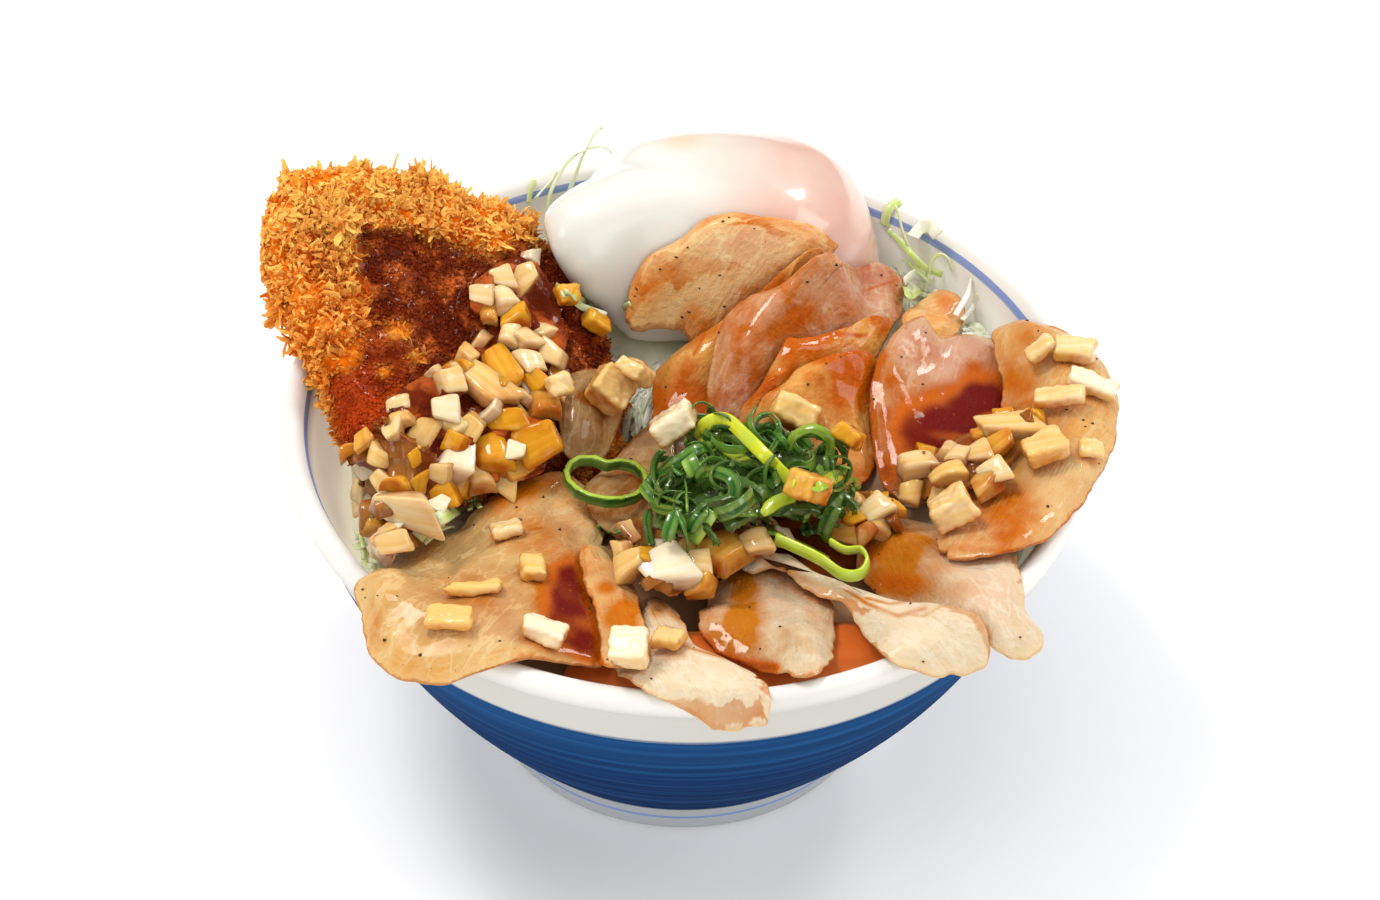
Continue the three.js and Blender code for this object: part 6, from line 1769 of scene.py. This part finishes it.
# Loose shreds, where the bed lies open and dry.
def looseShreds(random):
    look = cabbageLook
    bedTree = treeOf([allNodes["cabbage"]])
    everything = treeWithout("bowl")
    middle = np.array([bowlX, bowlY])
    down = Vector((0, 0, -1))

    def openAt(x, y):
        start = Vector((x, y, 0.14))
        top, own = everything.ray_cast(start, down)[0], bedTree.ray_cast(start, down)[0]
        return own is not None and top is not None and top.z - own.z < 0.2 * mm, own

    def isOnStanding(spot, ground):
        return ground.z > (look["bedLevel"] + 2) * mm and isStanding(*((spot - middle) / mm))

    parts, tries = [], 0
    while len(parts) < look["shreds"] and tries < look["tries"]:
        tries += 1
        spot = middle + random.uniform(-look["spread"], look["spread"], 2) * mm
        if np.hypot(*(spot - middle)) > look["hollow"] * mm:
            continue
        isOpen, ground = openAt(*spot)
        if not isOpen or fromSoaked(*spot) < 0.055 or ground.z > 0.1 or isOnStanding(spot, ground):
            continue
        heading, half = random.uniform(0, math.pi), random.uniform(4, 11)
        way = np.array([math.cos(heading), math.sin(heading)])
        side = np.array([-way[1], way[0]])
        curl = random.uniform(-0.6, 0.6)
        path = []
        for t in np.linspace(-1, 1, 9):
            flat = spot + (way * half * t + side * curl * half * (t * t - 0.4)) * mm
            isOpen, ground = openAt(*flat)
            isInside = np.hypot(*(flat - middle)) < (look["hollow"] + 0.5) * mm
            if isOpen and isInside and not isOnStanding(flat, ground):
                lift = random.uniform(0.2, 0.6) + 1.6 * (1 - t * t) * random.random()
                path.append((*flat, ground.z + lift * mm))
            elif path:
                break
        if len(path) < 3:
            continue
        width = random.uniform(0.9, 2.1) * mm
        upward = unit(np.array([0, 0, 1.0]) + random.normal(0, 0.4, 3))
        strip, faces, masks = band(curveThrough(path, 3 * len(path)), width, 0.5 * mm, upward, sides=6)
        masks["tint"] = random.beta(1.2, 2.4)
        parts.append((strip, faces, masks))
    return parts


def makeCabbage():
    random = np.random.default_rng(111)
    parts = [cabbageBed()] + looseShreds(random)
    count = len(parts) - 1
    steps = 30
    for shred in standingShreds:
        path = curveThrough(np.array(shred) * mm + np.array([bowlX, bowlY, 0]), steps)
        sway = np.column_stack([cloud(path + k, 9 * mm, 115) for k in (0, 0.1, 0.2)])
        path = path + 1.6 * mm * sway * np.linspace(0, 1, steps)[:, None]
        widths = 1.5 + 0.4 * np.sin(np.arange(steps) * 0.5 + random.uniform(0, 6))
        widths = widths * np.linspace(1, 0.7, steps)
        strip, faces, masks = band(path, widths * mm, 0.5 * mm, unit(np.array([0.8, 0.5, 0.3])))
        masks["tint"] = np.clip(0.55 + 0.5 * cloud(strip, 6 * mm, 114), 0, 1)
        parts.append((strip, faces, masks))
    carriers, steps = treeWithout(), 24
    for pixels, width, tint in cabbageBands:
        path = curveThrough(hitsOf(carriers, pixels), steps)
        path[:, 2] += (0.5 + 0.8 * np.sin(np.linspace(0.3, math.pi - 0.3, steps))) * mm
        upward = unit(np.array([0, -0.5, 0.8]) + random.normal(0, 0.3, 3))
        strip, faces, masks = band(path, width * mm, 0.45 * mm, upward)
        masks["tint"] = np.clip(tint + 0.3 * cloud(strip, 4 * mm, 116), 0, 1.2)
        parts.append((strip, faces, masks))
    points, faces, masks = gather(parts)
    piece = makePiece("cabbageShreds", points, faces, cabbageMaterial(), masks)
    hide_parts("cabbage")
    print("cabbage made,", count, "shreds")


makeCabbage()


def riceMaterial():
    r = Recipe("steamedRice")
    grains = r.node("ShaderNodeTexVoronoi")
    grains.inputs["Scale"].default_value = 320.0
    r.join(r.place(), grains.inputs["Vector"])
    base = r.mix(r.step(grains.outputs["Distance"], 0.1, 0.7), "#f6f3ea", "#ded8c6")
    r.bump(grains.outputs["Distance"], 0.8, 0.001)
    return r.finish(Base_Color=base, Roughness=0.4)


rice = allNodes["rice"]
rice.data.materials.clear()
rice.data.materials.append(riceMaterial())
print("rice dressed")

# pepper

pepperLook = {
    "colour": "#2b1d14", "light": "#5a3d24", "scattered": 150, "columns": (340, 1110), "rows": (200, 700),
}
pepperPixels = [
    (676, 257), (660, 269), (720, 275), (637, 289), (807, 282), (836, 265), (625, 324), (682, 317),
    (689, 312), (666, 387), (724, 306), (385, 640), (420, 655), (520, 520), (560, 530), (765, 545),
]


def makePepper():
    random = np.random.default_rng(121)
    r = Recipe("crackedPepper")
    base = r.mix(r.step(r.noise(r.place(), 1500.0, 2.0), 0.4, 0.7), pepperLook["colour"], pepperLook["light"])
    material = r.finish(Base_Color=base, Roughness=0.6)
    meat = treeOf(list(sheets.values()))
    spots = [(x, y, 0.75) for x, y in pepperPixels]
    while len(spots) < pepperLook["scattered"] + len(pepperPixels):
        x, y = random.uniform(*pepperLook["columns"]), random.uniform(*pepperLook["rows"])
        spots.append((x, y, random.uniform(0.35, 0.7)))
    parts = []
    cube = np.array([(i & 1, i >> 1 & 1, i >> 2 & 1) for i in range(8)])
    faces = [(0, 2, 3, 1), (4, 5, 7, 6), (0, 1, 5, 4), (2, 6, 7, 3), (0, 4, 6, 2), (1, 3, 7, 5)]
    for x, y, size in spots:
        place, normal = pixelHit(meat, x, y)
        first = pixelHit(toppingTree, x, y)[0]
        if place is None or first is None or np.linalg.norm(first - place) > 2 * mm:
            continue
        chip = unit(random.normal(size=(8, 3)) * 0.35 + cube * 2 - 1)
        chip = chip * random.uniform(0.6, 1.1, (8, 1)) * size * 0.8 * mm * np.array([1, 0.8, 0.5])
        parts.append((place + normal * 0.1 * mm + chip, faces, {}))
    points, faces, _ = gather(parts)
    makePiece("pepperSpecks", points, faces, material, isSmooth=False)
    print("pepper made,", len(parts))


makePepper()
